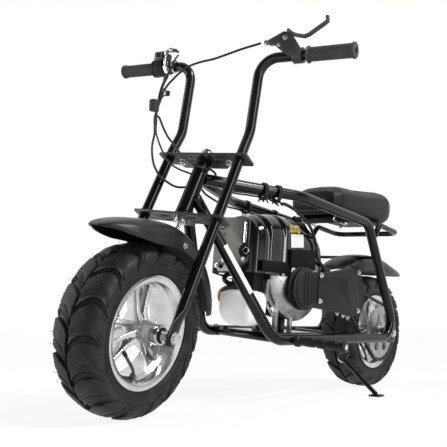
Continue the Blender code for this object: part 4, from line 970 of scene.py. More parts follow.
@dataclass
class RoadWheel:
    """A lugged balloon tyre on a cast rim with split spokes."""

    name: str
    centre: tuple[float, float, float]
    body: Body
    lugs: int = 16
    bulge: float = math.radians(9.5)
    lug_share: float = 0.8
    lug_high: float = 0.0058
    carcass: tuple[tuple[float, float], ...] = (
        (0.0, 0.1588), (0.012, 0.1584), (0.024, 0.1568), (0.034, 0.154), (0.0415, 0.1495),
        (0.046, 0.1445), (0.0484, 0.138), (0.0491, 0.13), (0.0484, 0.12), (0.0462, 0.1132),
        (0.0425, 0.1092), (0.0382, 0.1074), (0.038, 0.0984),
    )
    flange: float = 0.1072
    seat: float = 0.098
    well: float = 0.09
    hub: float = 0.0215
    hub_half: float = 0.07
    hair: float = 0.00032
    hair_count: int = 84

    def build(self) -> None:
        """Builds the whole wheel."""
        self.tyre()
        self.rim()
        self.valve()

    def tyre(self) -> None:
        """Builds the carcass with its raised side rings and lugs."""
        half = sorted(self.carcass[:12], key=lambda row: -row[1]) + [self.carcass[12]]
        profile = half + [(-x, r) for x, r in half[:0:-1]]
        shell = Bench.turned(f"{self.name}_tyre_skin", profile, self.centre, steps=144, ring=True)
        rings = []
        for side in (1, -1):
            for x, r in ((0.0488, 0.1215), (0.0474, 0.1155), (0.0446, 0.1107)):
                rings.append(Bench.hoop("ring", Vector(self.centre) + Vector((side * x, 0, 0)),
                                        (1, 0, 0), r, 0.0009, 96))
        lugs = self.tread()
        piece = Bench.joined(f"{self.name}_tyre_skin", [shell, *rings, lugs, *self.hairs()])
        keep(piece, self.body, TYRE_RUBBER, f"{self.name}_tyre", sharp=38)

    def skin_point(self, u: float, lift: float) -> tuple[float, float]:
        """Finds a point on or above the carcass.

        Args:
            u: from 0 at the tread's middle to 1 low on the side.
            lift: how far above the carcass.

        Returns:
            The distance across and the radius.
        """
        rows = self.carcass[:8]
        place = min(len(rows) - 2, int(u * (len(rows) - 1)))
        share = u * (len(rows) - 1) - place
        (x0, r0), (x1, r1) = rows[place], rows[place + 1]
        before = rows[max(place - 1, 0)]
        after = rows[min(place + 2, len(rows) - 1)]
        first = Vector((x1 - before[0], r1 - before[1])).normalized()
        second = Vector((after[0] - x0, after[1] - r0)).normalized()
        along = first.lerp(second, share).normalized()
        return (x0 + (x1 - x0) * share - along.y * lift, r0 + (r1 - r0) * share + along.x * lift)

    def tread(self) -> Thing:
        """Shapes one lug of each side from a cube with two fine ridges, and sets copies round the tyre.

        Returns:
            The lugs and their ridges.
        """
        pitch = 2 * math.pi / self.lugs
        sides = []
        for side, first in ((1, 0.02), (-1, 0.52)):
            Bench.clear()
            bpy.ops.mesh.primitive_cube_add(size=1.0, location=(0.5, 0.0, 0.5))
            lug = Bench.named("lug")
            Bench.edit(lug)
            bpy.ops.mesh.subdivide(number_cuts=11)
            Bench.clear()

            def onto_tyre(point: Vector) -> Vector:
                """Wraps a point of the unit cube onto the carcass.

                Args:
                    point: a point of the shape that is bent.

                Returns:
                    Its new place.
                """
                u = 0.03 + 0.97 * point.x
                fade = 1.0 - max(0.0, (u - 0.7) / 0.3) * 0.7
                scale = 1.0 - 0.62 * point.y + 0.2 * math.cos(point.y * 4 * math.pi)
                lift = -0.0015 + (self.lug_high * fade * min(1.0, scale) + 0.0015) * point.z
                x, r = self.skin_point(u, lift)
                narrow = 1.0 - 0.05 * point.z - 0.22 * max(0.0, u - 0.6)
                angle = first * pitch + self.lug_share * pitch * (0.5 + (point.y - 0.5) * narrow)
                angle -= self.bulge * math.sin(math.pi * u ** 0.85)
                return Vector((side * x, r * math.cos(angle), r * math.sin(angle)))

            Bench.moved(lug, onto_tyre)
            Bench.mended(lug)
            Bench.edit(lug, "EDGE")
            bpy.ops.mesh.select_all(action="DESELECT")
            bpy.ops.mesh.edges_select_sharp(sharpness=math.radians(50))
            bpy.ops.mesh.bevel(offset=0.0006, segments=1, clamp_overlap=True)
            Bench.clear()
            places = [Matrix.Translation(self.centre) @ Matrix.Rotation(pitch * i, 4, "X")
                      for i in range(self.lugs)]
            sides.append(Bench.copies("lug", lug, places))
            for width, high in ((0.3, 0.8), (0.58, 0.6)):
                arc = []
                for i in range(9):
                    u = 0.12 + 0.74 * i / 8
                    x, r = self.skin_point(u, self.lug_high * high * (1.0 - 0.62 * width) * 1.05)
                    angle = first * pitch + self.lug_share * pitch * (0.5 + (width - 0.5) * 0.95)
                    angle -= self.bulge * math.sin(math.pi * u ** 0.85)
                    arc.append((side * x, r * math.cos(angle), r * math.sin(angle)))
                sides.append(Bench.copies("ridge", Bench.hose("ridge", arc, 0.0012, 1), places))
        return Bench.joined("tread", sides)

    def hairs(self) -> list[Thing]:
        """Sets the fine moulding hairs that stand on the lugs.

        Returns:
            The hairs.
        """
        made = []
        for i in range(self.hair_count):
            angle = math.radians(-52 + 4.2 * i)
            if math.sin(angle) < -0.62:
                continue
            side = 1 if i % 2 else -1
            x, r = self.skin_point(0.12 + 0.62 * ((i * 7) % 11) / 11, self.lug_high * 0.8)
            out = Vector((side * 0.25, math.cos(angle), math.sin(angle))).normalized()
            foot = Vector(self.centre) + Vector((side * x, r * math.cos(angle), r * math.sin(angle)))
            bend = Vector((0.0, -out.z, out.y)) * 0.0022 * ((i * 5) % 7 - 3) / 3
            tall = 0.005 + 0.0055 * ((i * 3) % 5) / 5
            line = [foot - out * 0.003, foot + out * tall * 0.5, foot + out * tall + bend]
            made.append(Bench.hose("hair", line, self.hair, 0))
        return made

    def rim(self) -> None:
        """Builds the barrel, the hub and three split spokes."""
        barrel_rows = [
            (0.0425, self.flange), (0.0412, self.flange + 0.0006), (0.0396, self.flange - 0.0004),
            (0.0388, self.flange - 0.003), (0.0385, self.seat), (0.0215, self.seat), (0.0145, self.well),
        ]
        inner_rows = [(0.0125, self.well - 0.0036), (0.0205, self.seat - 0.0036),
                      (0.0385, self.seat - 0.0034), (0.0412, self.seat + 0.002),
                      (0.0425, self.flange - 0.0026)]
        outer = barrel_rows + [(-x, r) for x, r in barrel_rows[::-1]]
        profile = outer + [(-x, r) for x, r in inner_rows[::-1]] + inner_rows
        barrel = Bench.turned("rim", profile, self.centre, steps=112, ring=True)
        rows = [(self.hub_half - 0.002, 0.0066), (self.hub_half - 0.002, 0.0118),
                (self.hub_half, 0.0122), (self.hub_half, 0.0178), (self.hub_half - 0.0012, 0.0186),
                (0.048, 0.0188), (0.04, 0.0205), (0.034, self.hub), (0.0, self.hub)]
        profile = rows + [(-x, r) for x, r in rows[-2::-1]]
        hub = Bench.turned("hub", profile, self.centre, steps=56, ring=True)
        arms = []
        for pair in range(3):
            middle = math.radians(91 + 120 * pair)
            for lean in (-1, 1):
                arms.append(self.arm(middle, lean))
            arms.append(self.web(middle))
        piece = Bench.joined(f"{self.name}_rim_cast", [barrel, hub, *arms])
        keep(piece, self.body, POLISHED_ALLOY, f"{self.name}_rim", sharp=34)
        for side in (1, -1):
            seal = Bench.turned(
                "seal",
                [(side * (self.hub_half - 0.0012), 0.0072), (side * (self.hub_half + 0.0006), 0.008),
                 (side * (self.hub_half + 0.001), 0.0148), (side * (self.hub_half - 0.001), 0.016)],
                self.centre, steps=40, ring=True)
            keep(seal, self.body, MOULDED_BLACK)
            seal.name = f"{self.name}_seal_{'left' if side > 0 else 'right'}"

    def arm(self, middle: float, lean: int) -> Thing:
        """Shapes one arm of a split spoke from a cube.

        Args:
            middle: the angle of its pair.
            lean: which side of the pair it is on.

        Returns:
            The arm.
        """
        foot = middle + lean * math.radians(21)
        head = middle + lean * math.radians(12.5)
        start = Vector((0, math.cos(foot), math.sin(foot))) * (self.hub - 0.003)
        end = Vector((0, math.cos(head), math.sin(head))) * (self.well - 0.001)
        along = (end - start).normalized()
        across = Vector((1, 0, 0)).cross(along)
        Bench.clear()
        bpy.ops.mesh.primitive_cube_add(size=2.0)
        piece = Bench.named("arm")
        Bench.edit(piece)
        bpy.ops.mesh.subdivide(number_cuts=3)
        Bench.clear()

        def onto_spoke(point: Vector) -> Vector:
            """Stretches the cube between hub and barrel, slimmer in its middle.

            Args:
                point: a point of the shape that is bent.

            Returns:
                Its new place.
            """
            t = (point.z + 1) / 2
            flare = 1.0 + 0.45 * (2 * t - 1) ** 4
            deep = (0.019 * (1 - t) + 0.0118 * t) * flare
            wide = (0.0062 * (1 - t) + 0.0046 * t) * flare
            place = start.lerp(end, t) + Vector(self.centre)
            rounded = 1.0 - 0.22 * point.x ** 4
            return place + Vector((deep * point.x, 0, 0)) + across * wide * point.y * rounded

        Bench.moved(piece, onto_spoke)
        Bench.mended(piece)
        Bench.apply(piece, "BEVEL", width=0.0016, segments=3, limit_method="ANGLE",
                    angle_limit=math.radians(50))
        return piece

    def web(self, middle: float) -> Thing:
        """Shapes the low web that joins the feet of a spoke's two arms.

        Args:
            middle: the angle of the spoke.

        Returns:
            The web.
        """
        out = Vector((0, math.cos(middle), math.sin(middle)))
        aside = Vector((1, 0, 0)).cross(out)
        low = Vector(self.centre) + out * (self.hub - 0.004)
        high = Vector(self.centre) + out * (self.hub + 0.009)
        corners = [low - aside * 0.006, high - aside * 0.0085, high + aside * 0.0085, low + aside * 0.006]
        corners = [corner - Vector((0.012, 0, 0)) for corner in corners]
        return Bench.plate("web", corners, (0.024, 0, 0), 0.0015)

    def valve(self) -> None:
        """Builds the bent rubber valve that stands out of the barrel, with its cap."""
        middle = Vector(self.centre)
        places = []
        for x, degrees, radius in ((0.015, 270, 0.0885), (0.016, 270, 0.078), (0.017, 263, 0.068),
                                   (0.017, 250, 0.059), (0.016, 238, 0.054)):
            angle = math.radians(degrees)
            places.append(middle + Vector((x, radius * math.cos(angle), radius * math.sin(angle))))
        line = smooth_line(places, 0.0022)
        stem = Bench.hose(f"{self.name}_valve", line, 0.003, 6)
        base = Bench.rod("valve", places[0], places[0] + (places[1] - places[0]) * 0.7, 0.0056, 24, 0.0015)
        keep(Bench.joined(f"{self.name}_valve", [stem, base]), self.body, VALVE_RUBBER)
        on = (line[-1] - line[-2]).normalized()
        cap = Bench.rod(f"{self.name}_valve_cap", line[-1] - on * 0.001, line[-1] + on * 0.01, 0.004,
                        16, 0.0008)
        keep(cap, self.body, MOULDED_BLACK)


@dataclass
class Mudguard:
    """A moulded mudguard: a crown with deep rounded sides and a rounded tip."""

    name: str
    centre: tuple[float, float, float]
    body: Body
    rows: tuple[tuple[float, float, float, float], ...]
    thick: float = 0.0028

    def build(self) -> None:
        """Wraps a flat grid over the guard's sections and thickens it."""
        Bench.clear()
        bpy.ops.mesh.primitive_grid_add(x_subdivisions=36, y_subdivisions=88, size=1.0)
        guard = Bench.named(f"{self.name}_moulding")
        middle = Vector(self.centre)

        def wrap(point: Vector) -> Vector:
            """Lays a point of the grid on the guard.

            Args:
                point: a point of the shape that is bent.

            Returns:
                Its new place.
            """
            degrees, radius, half, drop = eased(self.rows, point.y + 0.5)
            around = point.x * math.pi
            across = math.copysign(abs(math.sin(around)) ** 0.72, around)
            down = 1.0 - max(0.0, math.cos(around)) ** 0.62
            angle = math.radians(degrees)
            r = radius - drop * down
            return middle + Vector((half * across, r * math.cos(angle), r * math.sin(angle)))

        Bench.moved(guard, wrap)
        Bench.mended(guard)
        Bench.apply(guard, "SOLIDIFY", thickness=self.thick, offset=-1.0, use_even_offset=False)
        Bench.apply(guard, "BEVEL", width=0.0005, segments=2, limit_method="ANGLE",
                    angle_limit=math.radians(60))
        keep(guard, self.body, GUARD_PLASTIC, f"{self.name}_fender", sharp=50)


FRONT_GUARD = Mudguard("front", STANCE.front_axle, Body.STEER, (
    (11, 0.2035, 0.056, 0.036), (18, 0.204, 0.06, 0.044), (31, 0.205, 0.06, 0.044),
    (45, 0.206, 0.06, 0.044), (58, 0.208, 0.06, 0.042), (70, 0.2095, 0.06, 0.045),
    (80, 0.2098, 0.06, 0.046), (90, 0.2095, 0.06, 0.046), (100, 0.211, 0.06, 0.044),
    (107, 0.2145, 0.058, 0.04), (113.5, 0.2195, 0.053, 0.034), (119, 0.2245, 0.044, 0.026),
    (123, 0.2285, 0.034, 0.016), (126.5, 0.231, 0.022, 0.008), (128, 0.2318, 0.01, 0.003),
))
REAR_GUARD = Mudguard("rear", STANCE.rear_axle, Body.CHASSIS, (
    (136, 0.262, 0.04, 0.018), (132, 0.258, 0.052, 0.032), (124, 0.249, 0.058, 0.042),
    (114, 0.2395, 0.06, 0.046), (103, 0.2315, 0.06, 0.046), (92, 0.2262, 0.06, 0.046),
    (81, 0.2235, 0.06, 0.045), (71, 0.224, 0.059, 0.042), (62, 0.23, 0.056, 0.036),
    (54, 0.2405, 0.05, 0.027), (49, 0.249, 0.042, 0.018), (45.5, 0.255, 0.03, 0.01),
    (43.5, 0.2585, 0.014, 0.003),
))


@dataclass
class FrameLoops:
    """The two tube loops that make the frame, with what is fixed to them."""

    half: float = 0.1077
    radius: float = 0.0125
    rail: float = 0.1525

    def loop(self, side: float, step: float = 5.0) -> list[Vector]:
        """Gives one loop's centre line, from the top of the head tube round to its foot.

        Args:
            side: 1 on the rider's left and -1 on the right.
            step: the angle between the points of a bend, in degrees.

        Returns:
            The line's points.
        """
        half = self.half * side
        return bent_line([
            (STANCE.fork(0.0, 0.0, 0.146), 0.0), ((half, -0.07, 0.4805), 0.1),
            ((half, 0.25, 0.464), 0.05), ((half, 0.446, self.rail), 0.05),
            ((half, -0.145, self.rail), 0.06), (STANCE.fork(0.0117 * side, 0.0047, 0.1035), 0.0),
        ], step)

    def build(self) -> None:
        """Builds the loops and the small things on them."""
        for name, side in (("left", 1.0), ("right", -1.0)):
            line = self.loop(side)
            for end, neighbour in ((0, 1), (-1, -2)):
                inward = line[neighbour] - line[end]
                line[end] = line[end] + inward.normalized() * (0.0175 if end == 0 else 0.013)
            tube = Bench.hose(f"frame_tube_{name}", line, self.radius, 10)
            arc = [math.radians(15 * k) for k in range(7)]
            dome = [(self.radius * 0.75 * math.sin(a), self.radius * math.cos(a)) for a in arc]
            weld = Bench.turned("weld", [(-0.002, 0.0), (-0.002, self.radius), *dome], line[-1],
                                line[-1] - line[-2], 32)
            tube = Bench.joined(f"frame_tube_{name}", [tube, weld])
            keep(tube, Body.CHASSIS, TUBE_PAINT, f"frame_loop_{name}")
        head_low = STANCE.fork(0, 0, 0.05935)
        length = (STANCE.fork(0, 0, 0.19065) - head_low).length
        rows = [(0.0, 0.011), (0.0, 0.0158), (0.0008, 0.017), (length - 0.0008, 0.017),
                (length, 0.0158), (length, 0.011)]
        head = Bench.turned("head_tube_shown", rows, head_low, STANCE.along(), 48, ring=True)
        keep(head, Body.CHASSIS, TUBE_PAINT, "head_tube")
        self.weld_beads()
        self.blank_strip()
        self.peg_bolts()

    def weld_beads(self) -> None:
        """Lays rough weld beads where the cross tubes and plates meet the loops."""
        beads = []
        for side in (1, -1):
            x = side * (self.half - self.radius - 0.0008)
            for y, z, r in ((0.221, self.rail, 0.0102), (-0.1, self.rail, 0.0102),
                            (0.07, self.rail, 0.0102), (0.19, 0.469, 0.0118)):
                beads.append(Bench.hoop("bead", (x, y, z), (1, 0, 0), r, 0.0016, 30))
        piece = Bench.joined("weld_beads", beads)

        def ripple(point: Vector) -> Vector:
            """Gives the bead its row of small waves.

            Args:
                point: a point of the shape that is bent.

            Returns:
                Its new place.
            """
            wave = math.sin(point.y * 2400) + math.sin(point.z * 2100 + point.x * 1700)
            return point + Vector((math.copysign(0.00028, point.x) * wave, 0, 0))

        keep(Bench.moved(piece, ripple), Body.CHASSIS, TUBE_PAINT, sharp=60)

    def blank_strip(self) -> None:
        """Lays the plain white strip along the left front tube, on the side that faces out and forward."""
        line = self.loop(1.0)
        foot, head = line[-2], line[-1]
        along = (head - foot).normalized()
        start = foot + along * 0.08
        end = foot + along * 0.197
        Bench.clear()
        turn = along.to_track_quat("Z", "Y")
        bpy.ops.mesh.primitive_cylinder_add(vertices=72, radius=self.radius + 0.0003,
                                            depth=(end - start).length, end_fill_type="NOTHING",
                                            location=(start + end) / 2, rotation=turn.to_euler())
        strip = Bench.named("blank_strip")
        face_out = Vector((1.0, -0.1, 0.1))
        face_out = (face_out - along * face_out.dot(along)).normalized()
        middle = (start + end) / 2
        Bench.edit(strip, "FACE")
        bpy.ops.mesh.select_all(action="DESELECT")
        bpy.ops.object.mode_set(mode="OBJECT")
        for face in strip.data.polygons:
            out = (face.center - middle)
            out = (out - along * out.dot(along)).normalized()
            face.select = out.dot(face_out) < math.cos(math.radians(29))
        bpy.ops.object.mode_set(mode="EDIT")
        bpy.ops.mesh.delete(type="FACE")
        Bench.clear()
        Bench.apply(strip, "SOLIDIFY", thickness=0.00025, offset=1.0)
        keep(strip, Body.CHASSIS, WHITE_LABEL)

    def peg_bolts(self) -> None:
        """Sets a nut, an end cap and a collar on each foot peg."""
        for name, side in (("left", 1.0), ("right", -1.0)):
            x = side * (self.half - self.radius)
            Fastener(0.013, 0.006, 0.0095).place(f"peg_nut_{name}", [(x, -0.076, self.rail)],
                                                 (-side, 0, 0), Body.CHASSIS)
            out = side * 0.2472
            cap = Bench.rod(f"peg_end_{name}", (out - side * 0.002, -0.076, self.rail),
                            (out + side * 0.0004, -0.076, self.rail), 0.006, 24, 0.0004)
            keep(cap, Body.CHASSIS, ZINC)
            collar = Bench.hoop(f"peg_collar_{name}", (side * 0.1245, -0.076, self.rail), (1, 0, 0),
                                0.0115, 0.0021)
            keep(collar, Body.CHASSIS, TUBE_PAINT)


@dataclass
class Steering:
    """The fork plates, legs and handlebars."""

    leg_half: float = 0.0925
    leg_ahead: float = 0.0078
    upper: float = 0.195
    lower: float = 0.055
    thick: float = 0.0047
    bar: float = 0.0111
    drop: float = 0.0085
    nut_seat: float = 0.0985

    def bar_line(self, side: float) -> list[Vector]:
        """Gives a handlebar's centre line from the upper plate to its end.

        Args:
            side: 1 on the rider's left and -1 on the right.

        Returns:
            The line's points.
        """
        x = side * 0.0905
        foot = STANCE.fork(side * self.leg_half, self.leg_ahead, self.upper + self.thick / 2 + 0.0003)
        return bent_line([
            (foot, 0.0), (foot + STANCE.along() * 0.014, 0.03), ((x, -0.265, 0.595), 0.06),
            ((x, -0.261, 0.76), 0.042), ((side * 0.298, -0.261, 0.76), 0.0),
        ])

    def build(self) -> None:
        """Builds the bars, plates and fasteners."""
        for name, side in (("left", 1.0), ("right", -1.0)):
            bar = Bench.hose(f"bar_{name}", self.bar_line(side), self.bar, 10)
            keep(bar, Body.STEER, BAR_PAINT, f"handlebar_{name}")
            self.grip(name, side)
        self.plate_fittings()
        self.axle_nuts()

    def grip(self, name: str, side: float) -> None:
        """Turns one rubber grip with its flange and shallow ribs.

        Args:
            name: left or right.
            side: 1 on the rider's left and -1 on the right.
        """
        rows = [(0.0, 0.0114), (0.0, 0.0172), (0.0008, 0.0178), (0.0026, 0.0178), (0.0036, 0.016)]
        place = 0.005
        while place < 0.093:
            rows += [(place, 0.0142), (place + 0.0006, 0.0147), (place + 0.003, 0.0147),
                     (place + 0.0036, 0.0142)]
            place += 0.0044
        rows += [(0.0955, 0.015), (0.097, 0.0166), (0.1005, 0.0166), (0.1018, 0.015), (0.102, 0.006),
                 (0.0975, 0.006), (0.0975, 0.0114)]
        start = (side * 0.202, -0.261, 0.76)
        piece = Bench.turned(f"rubber_grip_{name}", rows, start, (side, 0, 0), 40, ring=True)
        keep(piece, Body.STEER, GRIP_RUBBER, f"grip_{name}", sharp=40)

    def plate_fittings(self) -> None:
        """Cuts the plates' slots and sets the nuts under them."""
        upper = Bench.solid("upper_plate_slotted", "upper_plate", STANCE.turned().inverted())
        cutters = []
        for x, ahead in ((-0.048, 0.0155), (-0.029, 0.0155), (-0.0083, 0.016), (0.0125, 0.0165),
                         (-0.031, 0.001), (0.0285, 0.002), (0.033, 0.016), (0.048, 0.002),
                         (-0.05, 0.001)):
            foot = STANCE.fork(x, ahead, self.upper - 0.012)
            cutters.append(Bench.rod("cutter", foot, foot + STANCE.along() * 0.024, 0.0042, 20, 0.0))
        Bench.cut(upper, cutters)
        Bench.apply(upper, "BEVEL", width=0.0004, segments=2, limit_method="ANGLE",
                    angle_limit=math.radians(40))
        keep(upper, Body.STEER, PLATE_PAINT, "upper_plate")
        under = self.upper - self.thick / 2
        seats = [STANCE.fork(x, -0.004, under) for x in (-0.06, 0.06)]
        Fastener(0.013, 0.0065, 0.0085, 0.003).place("upper_plate_nuts", seats, -STANCE.along(),
                                                      Body.STEER)
        top = STANCE.fork(0, 0, self.upper + 0.015)
        Fastener(0.021, 0.005, 0.0125, 0.0).place("stem_cap", [top], STANCE.along(), Body.STEER)
        self.leg_collars()
        self.lower_plate()
        self.rear_lip()

    def lower_plate(self) -> None:
        """Builds the lower plate with its slots, cup and stem nut."""
        plate = Bench.solid("lower_plate_slotted", "lower_plate", STANCE.turned().inverted())
        plate.data.transform(Matrix.Translation(STANCE.along() * -self.drop))
        cutters = []
        for side in (1, -1):
            line = [STANCE.fork(side * x, ahead, self.lower - self.drop - 0.012)
                    for x, ahead in ((0.024, -0.004), (0.034, -0.0068), (0.044, -0.0075))]
            for first, second in zip(line, line[1:]):
                across = (second - first).normalized().cross(STANCE.along()) * 0.0024
                corners = [first + across, second + across, second - across, first - across]
                cutters.append(Bench.plate("cutter", corners, STANCE.along() * 0.024, 0.0))
        Bench.cut(plate, cutters)
        Bench.apply(plate, "BEVEL", width=0.0005, segments=2, limit_method="ANGLE",
                    angle_limit=math.radians(40))
        keep(plate, Body.STEER, PLATE_PAINT, "lower_plate")
        top = STANCE.fork(0, 0, self.lower - self.drop + self.thick / 2 - 0.0003)
        rows = [(0.0, 0.0), (0.0, 0.0175), (0.0022, 0.0185), (0.008, 0.0178), (0.0096, 0.016),
                (0.0096, 0.0)]
        keep(Bench.turned("stem_cup", rows, top, STANCE.along(), 40), Body.STEER, TUBE_PAINT)
        under = STANCE.fork(0, 0, self.lower - self.drop - self.thick / 2)
        Fastener(0.0185, 0.008, 0.013, 0.003).place("stem_nut", [under], -STANCE.along(), Body.STEER)

    def rear_lip(self) -> None:
        """Adds the upper plate's lip behind the head tube."""
        up = self.upper - self.thick / 2
        corners = [STANCE.fork(x, ahead, up) for x, ahead in (
            (-0.084, -0.017), (-0.07, -0.032), (0.042, -0.032), (0.06, -0.017))]
        lip = Bench.plate("upper_plate_lip", corners, STANCE.along() * self.thick, 0.0005)
        keep(lip, Body.STEER, PLATE_PAINT)

    def leg_collars(self) -> None:
        """Sets the collars that clamp the legs and bars at the plates."""
        collars = []
        for side in (1, -1):
            for up in (self.lower - 0.005, self.upper + 0.0034):
                centre = STANCE.fork(side * self.leg_half, self.leg_ahead, up)
                collars.append(Bench.hoop("collar", centre, STANCE.along(), 0.0122, 0.0016))
        keep(Bench.joined("leg_collars", collars), Body.STEER, TUBE_PAINT)

    def axle_nuts(self) -> None:
        """Puts the large washers and nuts on both ends of both axles."""
        for name, axle, body in (("front", STANCE.front_axle, Body.STEER),
                                 ("rear", STANCE.rear_axle, Body.CHASSIS)):
            for part, side in (("left", 1), ("right", -1)):
                seat = Vector(axle) + Vector((side * self.nut_seat, 0, 0))
                Fastener(0.0175, 0.0062, 0.0112, 0.0006).place(f"{name}_axle_nut_{part}", [seat],
                                                               (side, 0, 0), body)


@dataclass
class Controls:
    """The lever with its bracket, and the throttle housing with its switch."""

    bar_y: float = -0.261
    bar_z: float = 0.76
    lever_y: float = -0.285

    def build(self) -> None:
        """Builds the small parts on the bars."""
        self.lever_parts()
        self.throttle_parts()
        self.clip()

    def lever_parts(self) -> None:
        """Builds the lever's adjuster, pivot and clamp bolt."""
        on = Vector((-1.0, 0.0, -0.18)).normalized()
        start = Vector((0.1245, self.lever_y, 0.7835))
        barrel = Bench.turned("barrel", [(0, 0.0), (0, 0.0046), (0.004, 0.0046), (0.005, 0.0038),
                                         (0.011, 0.0036), (0.012, 0.0028), (0.016, 0.0024),
                                         (0.016, 0.0)], start, on, 20)
        ring = Bench.hoop("barrel", start + on * 0.0035, on, 0.0047, 0.0008, 20)
        keep(Bench.joined("cable_adjuster", [barrel, ring]), Body.STEER, BRIGHT_PLATING)
        front = self.lever_y - 0.0062
        Fastener(0.008, 0.003, 0.0056).place("lever_pivot", [(0.16, front, 0.788)], (0, -1, 0),
                                               Body.STEER)
        Fastener(0.0066, 0.003, 0.0044).place("lever_screw", [(0.148, front, 0.7735)], (0, -1, 0),
                                               Body.STEER, BRIGHT_PLATING)
        slot = Bench.block("lever_slot", (0.1545, front - 0.0004, 0.7935), (0.158, front + 0.001, 0.8015),
                           0.0003)
        keep(slot, Body.STEER, CAST_DARK)
        edge = Bench.rod("lever_edge", (0.1225, front + 0.0002, 0.7862), (0.1535, front + 0.0002, 0.8008),
                         0.001, 12, 0.0003)
        keep(edge, Body.STEER, LEVER_METAL)

    def throttle_parts(self) -> None:
        """Builds the switch box, its bright bracket and the housing's screws."""
        y = self.bar_y
        box = Bench.block("switch_box", (-0.2005, y - 0.017, 0.7745), (-0.1715, y + 0.013, 0.7975), 0.0045)
        keep(box, Body.STEER, OLIVE_PLASTIC)
        button = Bench.rod("switch_button", (-0.1862, y - 0.0165, 0.7865), (-0.1862, y - 0.0205, 0.7865),
                           0.0062, 28, 0.0012)
        keep(button, Body.STEER, MOULDED_BLACK)
        collar = Bench.turned("housing_rim", [(0.0, 0.012), (0.0, 0.0198), (0.001, 0.0208),
                                              (0.005, 0.0208), (0.0058, 0.0198), (0.0058, 0.012)],
                              (-0.1985, y, self.bar_z), (-1, 0, 0), 44, ring=True)
        keep(collar, Body.STEER, MOULDED_BLACK)
        plate = [(-0.169, 0.7935), (-0.156, 0.801), (-0.133, 0.7975), (-0.123, 0.79),
                 (-0.123, 0.786), (-0.135, 0.789), (-0.154, 0.7905), (-0.164, 0.782)]
        bracket = Bench.plate("bracket", [(x, y - 0.0185, z) for x, z in plate], (0, 0.0022, 0), 0.0005)
        lower = [(-0.166, 0.766), (-0.156, 0.77), (-0.15, 0.756), (-0.14, 0.742),
                 (-0.132, 0.74), (-0.13, 0.736), (-0.143, 0.733), (-0.157, 0.742),
                 (-0.165, 0.754)]
        cheek = Bench.plate("bracket", [(x, y - 0.0185, z) for x, z in lower], (0, 0.0022, 0), 0.0005)
        hinge = Bench.rod("bracket", (-0.162, y - 0.019, 0.785), (-0.162, y - 0.019, 0.764),
                          0.0026, 16, 0.0005)
        loop = Bench.hoop("bracket", (-0.14, y - 0.004, 0.76), (1, 0, 0), 0.0138, 0.0024, 40)
        keep(Bench.joined("throttle_bracket", [bracket, cheek, hinge, loop]), Body.STEER, BRIGHT_PLATING)
        Fastener(0.007, 0.003, 0.0048).place(
            "housing_screws", [(-0.148, y - 0.0186, 0.796), (-0.15, y - 0.0186, 0.745)], (0, -1, 0),
            Body.STEER, BRIGHT_PLATING)

    def clip(self) -> None:
        """Builds the ribbed rubber clip that gathers the cables, and the loose plug above it."""
        centre = Vector((-0.1345, -0.325, 0.645))
        axis = Vector((-0.06, -0.1, 1.0)).normalized()
        rows = [(-0.013, 0.0), (-0.013, 0.009)]
        for i in range(5):
            low = -0.0122 + 0.005 * i
            rows += [(low, 0.0112), (low + 0.003, 0.0115), (low + 0.0036, 0.01)]
        rows += [(0.013, 0.0092), (0.013, 0.0)]
        body = Bench.turned("cable_clip", rows, centre, axis, 28)
        keep(body, Body.STEER, GRIP_RUBBER, sharp=40)
        wire = Bench.hose("plug_wire", smooth_line([
            (-0.133, -0.32, 0.656), (-0.127, -0.315, 0.665), (-0.119, -0.311, 0.673),
            (-0.112, -0.31, 0.677), (-0.1145, -0.31, 0.682), (-0.124, -0.311, 0.685),
            (-0.129, -0.311, 0.693), (-0.131, -0.309, 0.704), (-0.134, -0.306, 0.72),
        ], 0.004), 0.0015)
        plug = Bench.block("plug", (-0.118, -0.313, 0.671), (-0.108, -0.307, 0.683), 0.0012)
        keep(Bench.joined("plug_wire", [wire, plug]), Body.STEER, CABLE_SKIN)


@dataclass
class CableRun:
    """One cable held along its whole way."""

    node: str
    points: Rows
    radius: float
    near: tuple[float, float, float]
    far: tuple[float, float, float]
    step: float = 0.006

    def build(self) -> None:
        """Draws the cable on the parked bike."""
        line = smooth_line(self.points, self.step)
        piece = Bench.hose(f"{self.node}_skin", line, self.radius, 6)
        piece.data.transform(STANCE.parked())
        Bench.take(piece)
        bpy.ops.object.shade_smooth_by_angle(angle=math.radians(40))
        Bench.clear()
        piece.data.materials.append(CABLE_SKIN.material())
        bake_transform(piece)
        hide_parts(self.node)
        log.info("%s: %d faces", piece.name, len(piece.data.polygons))


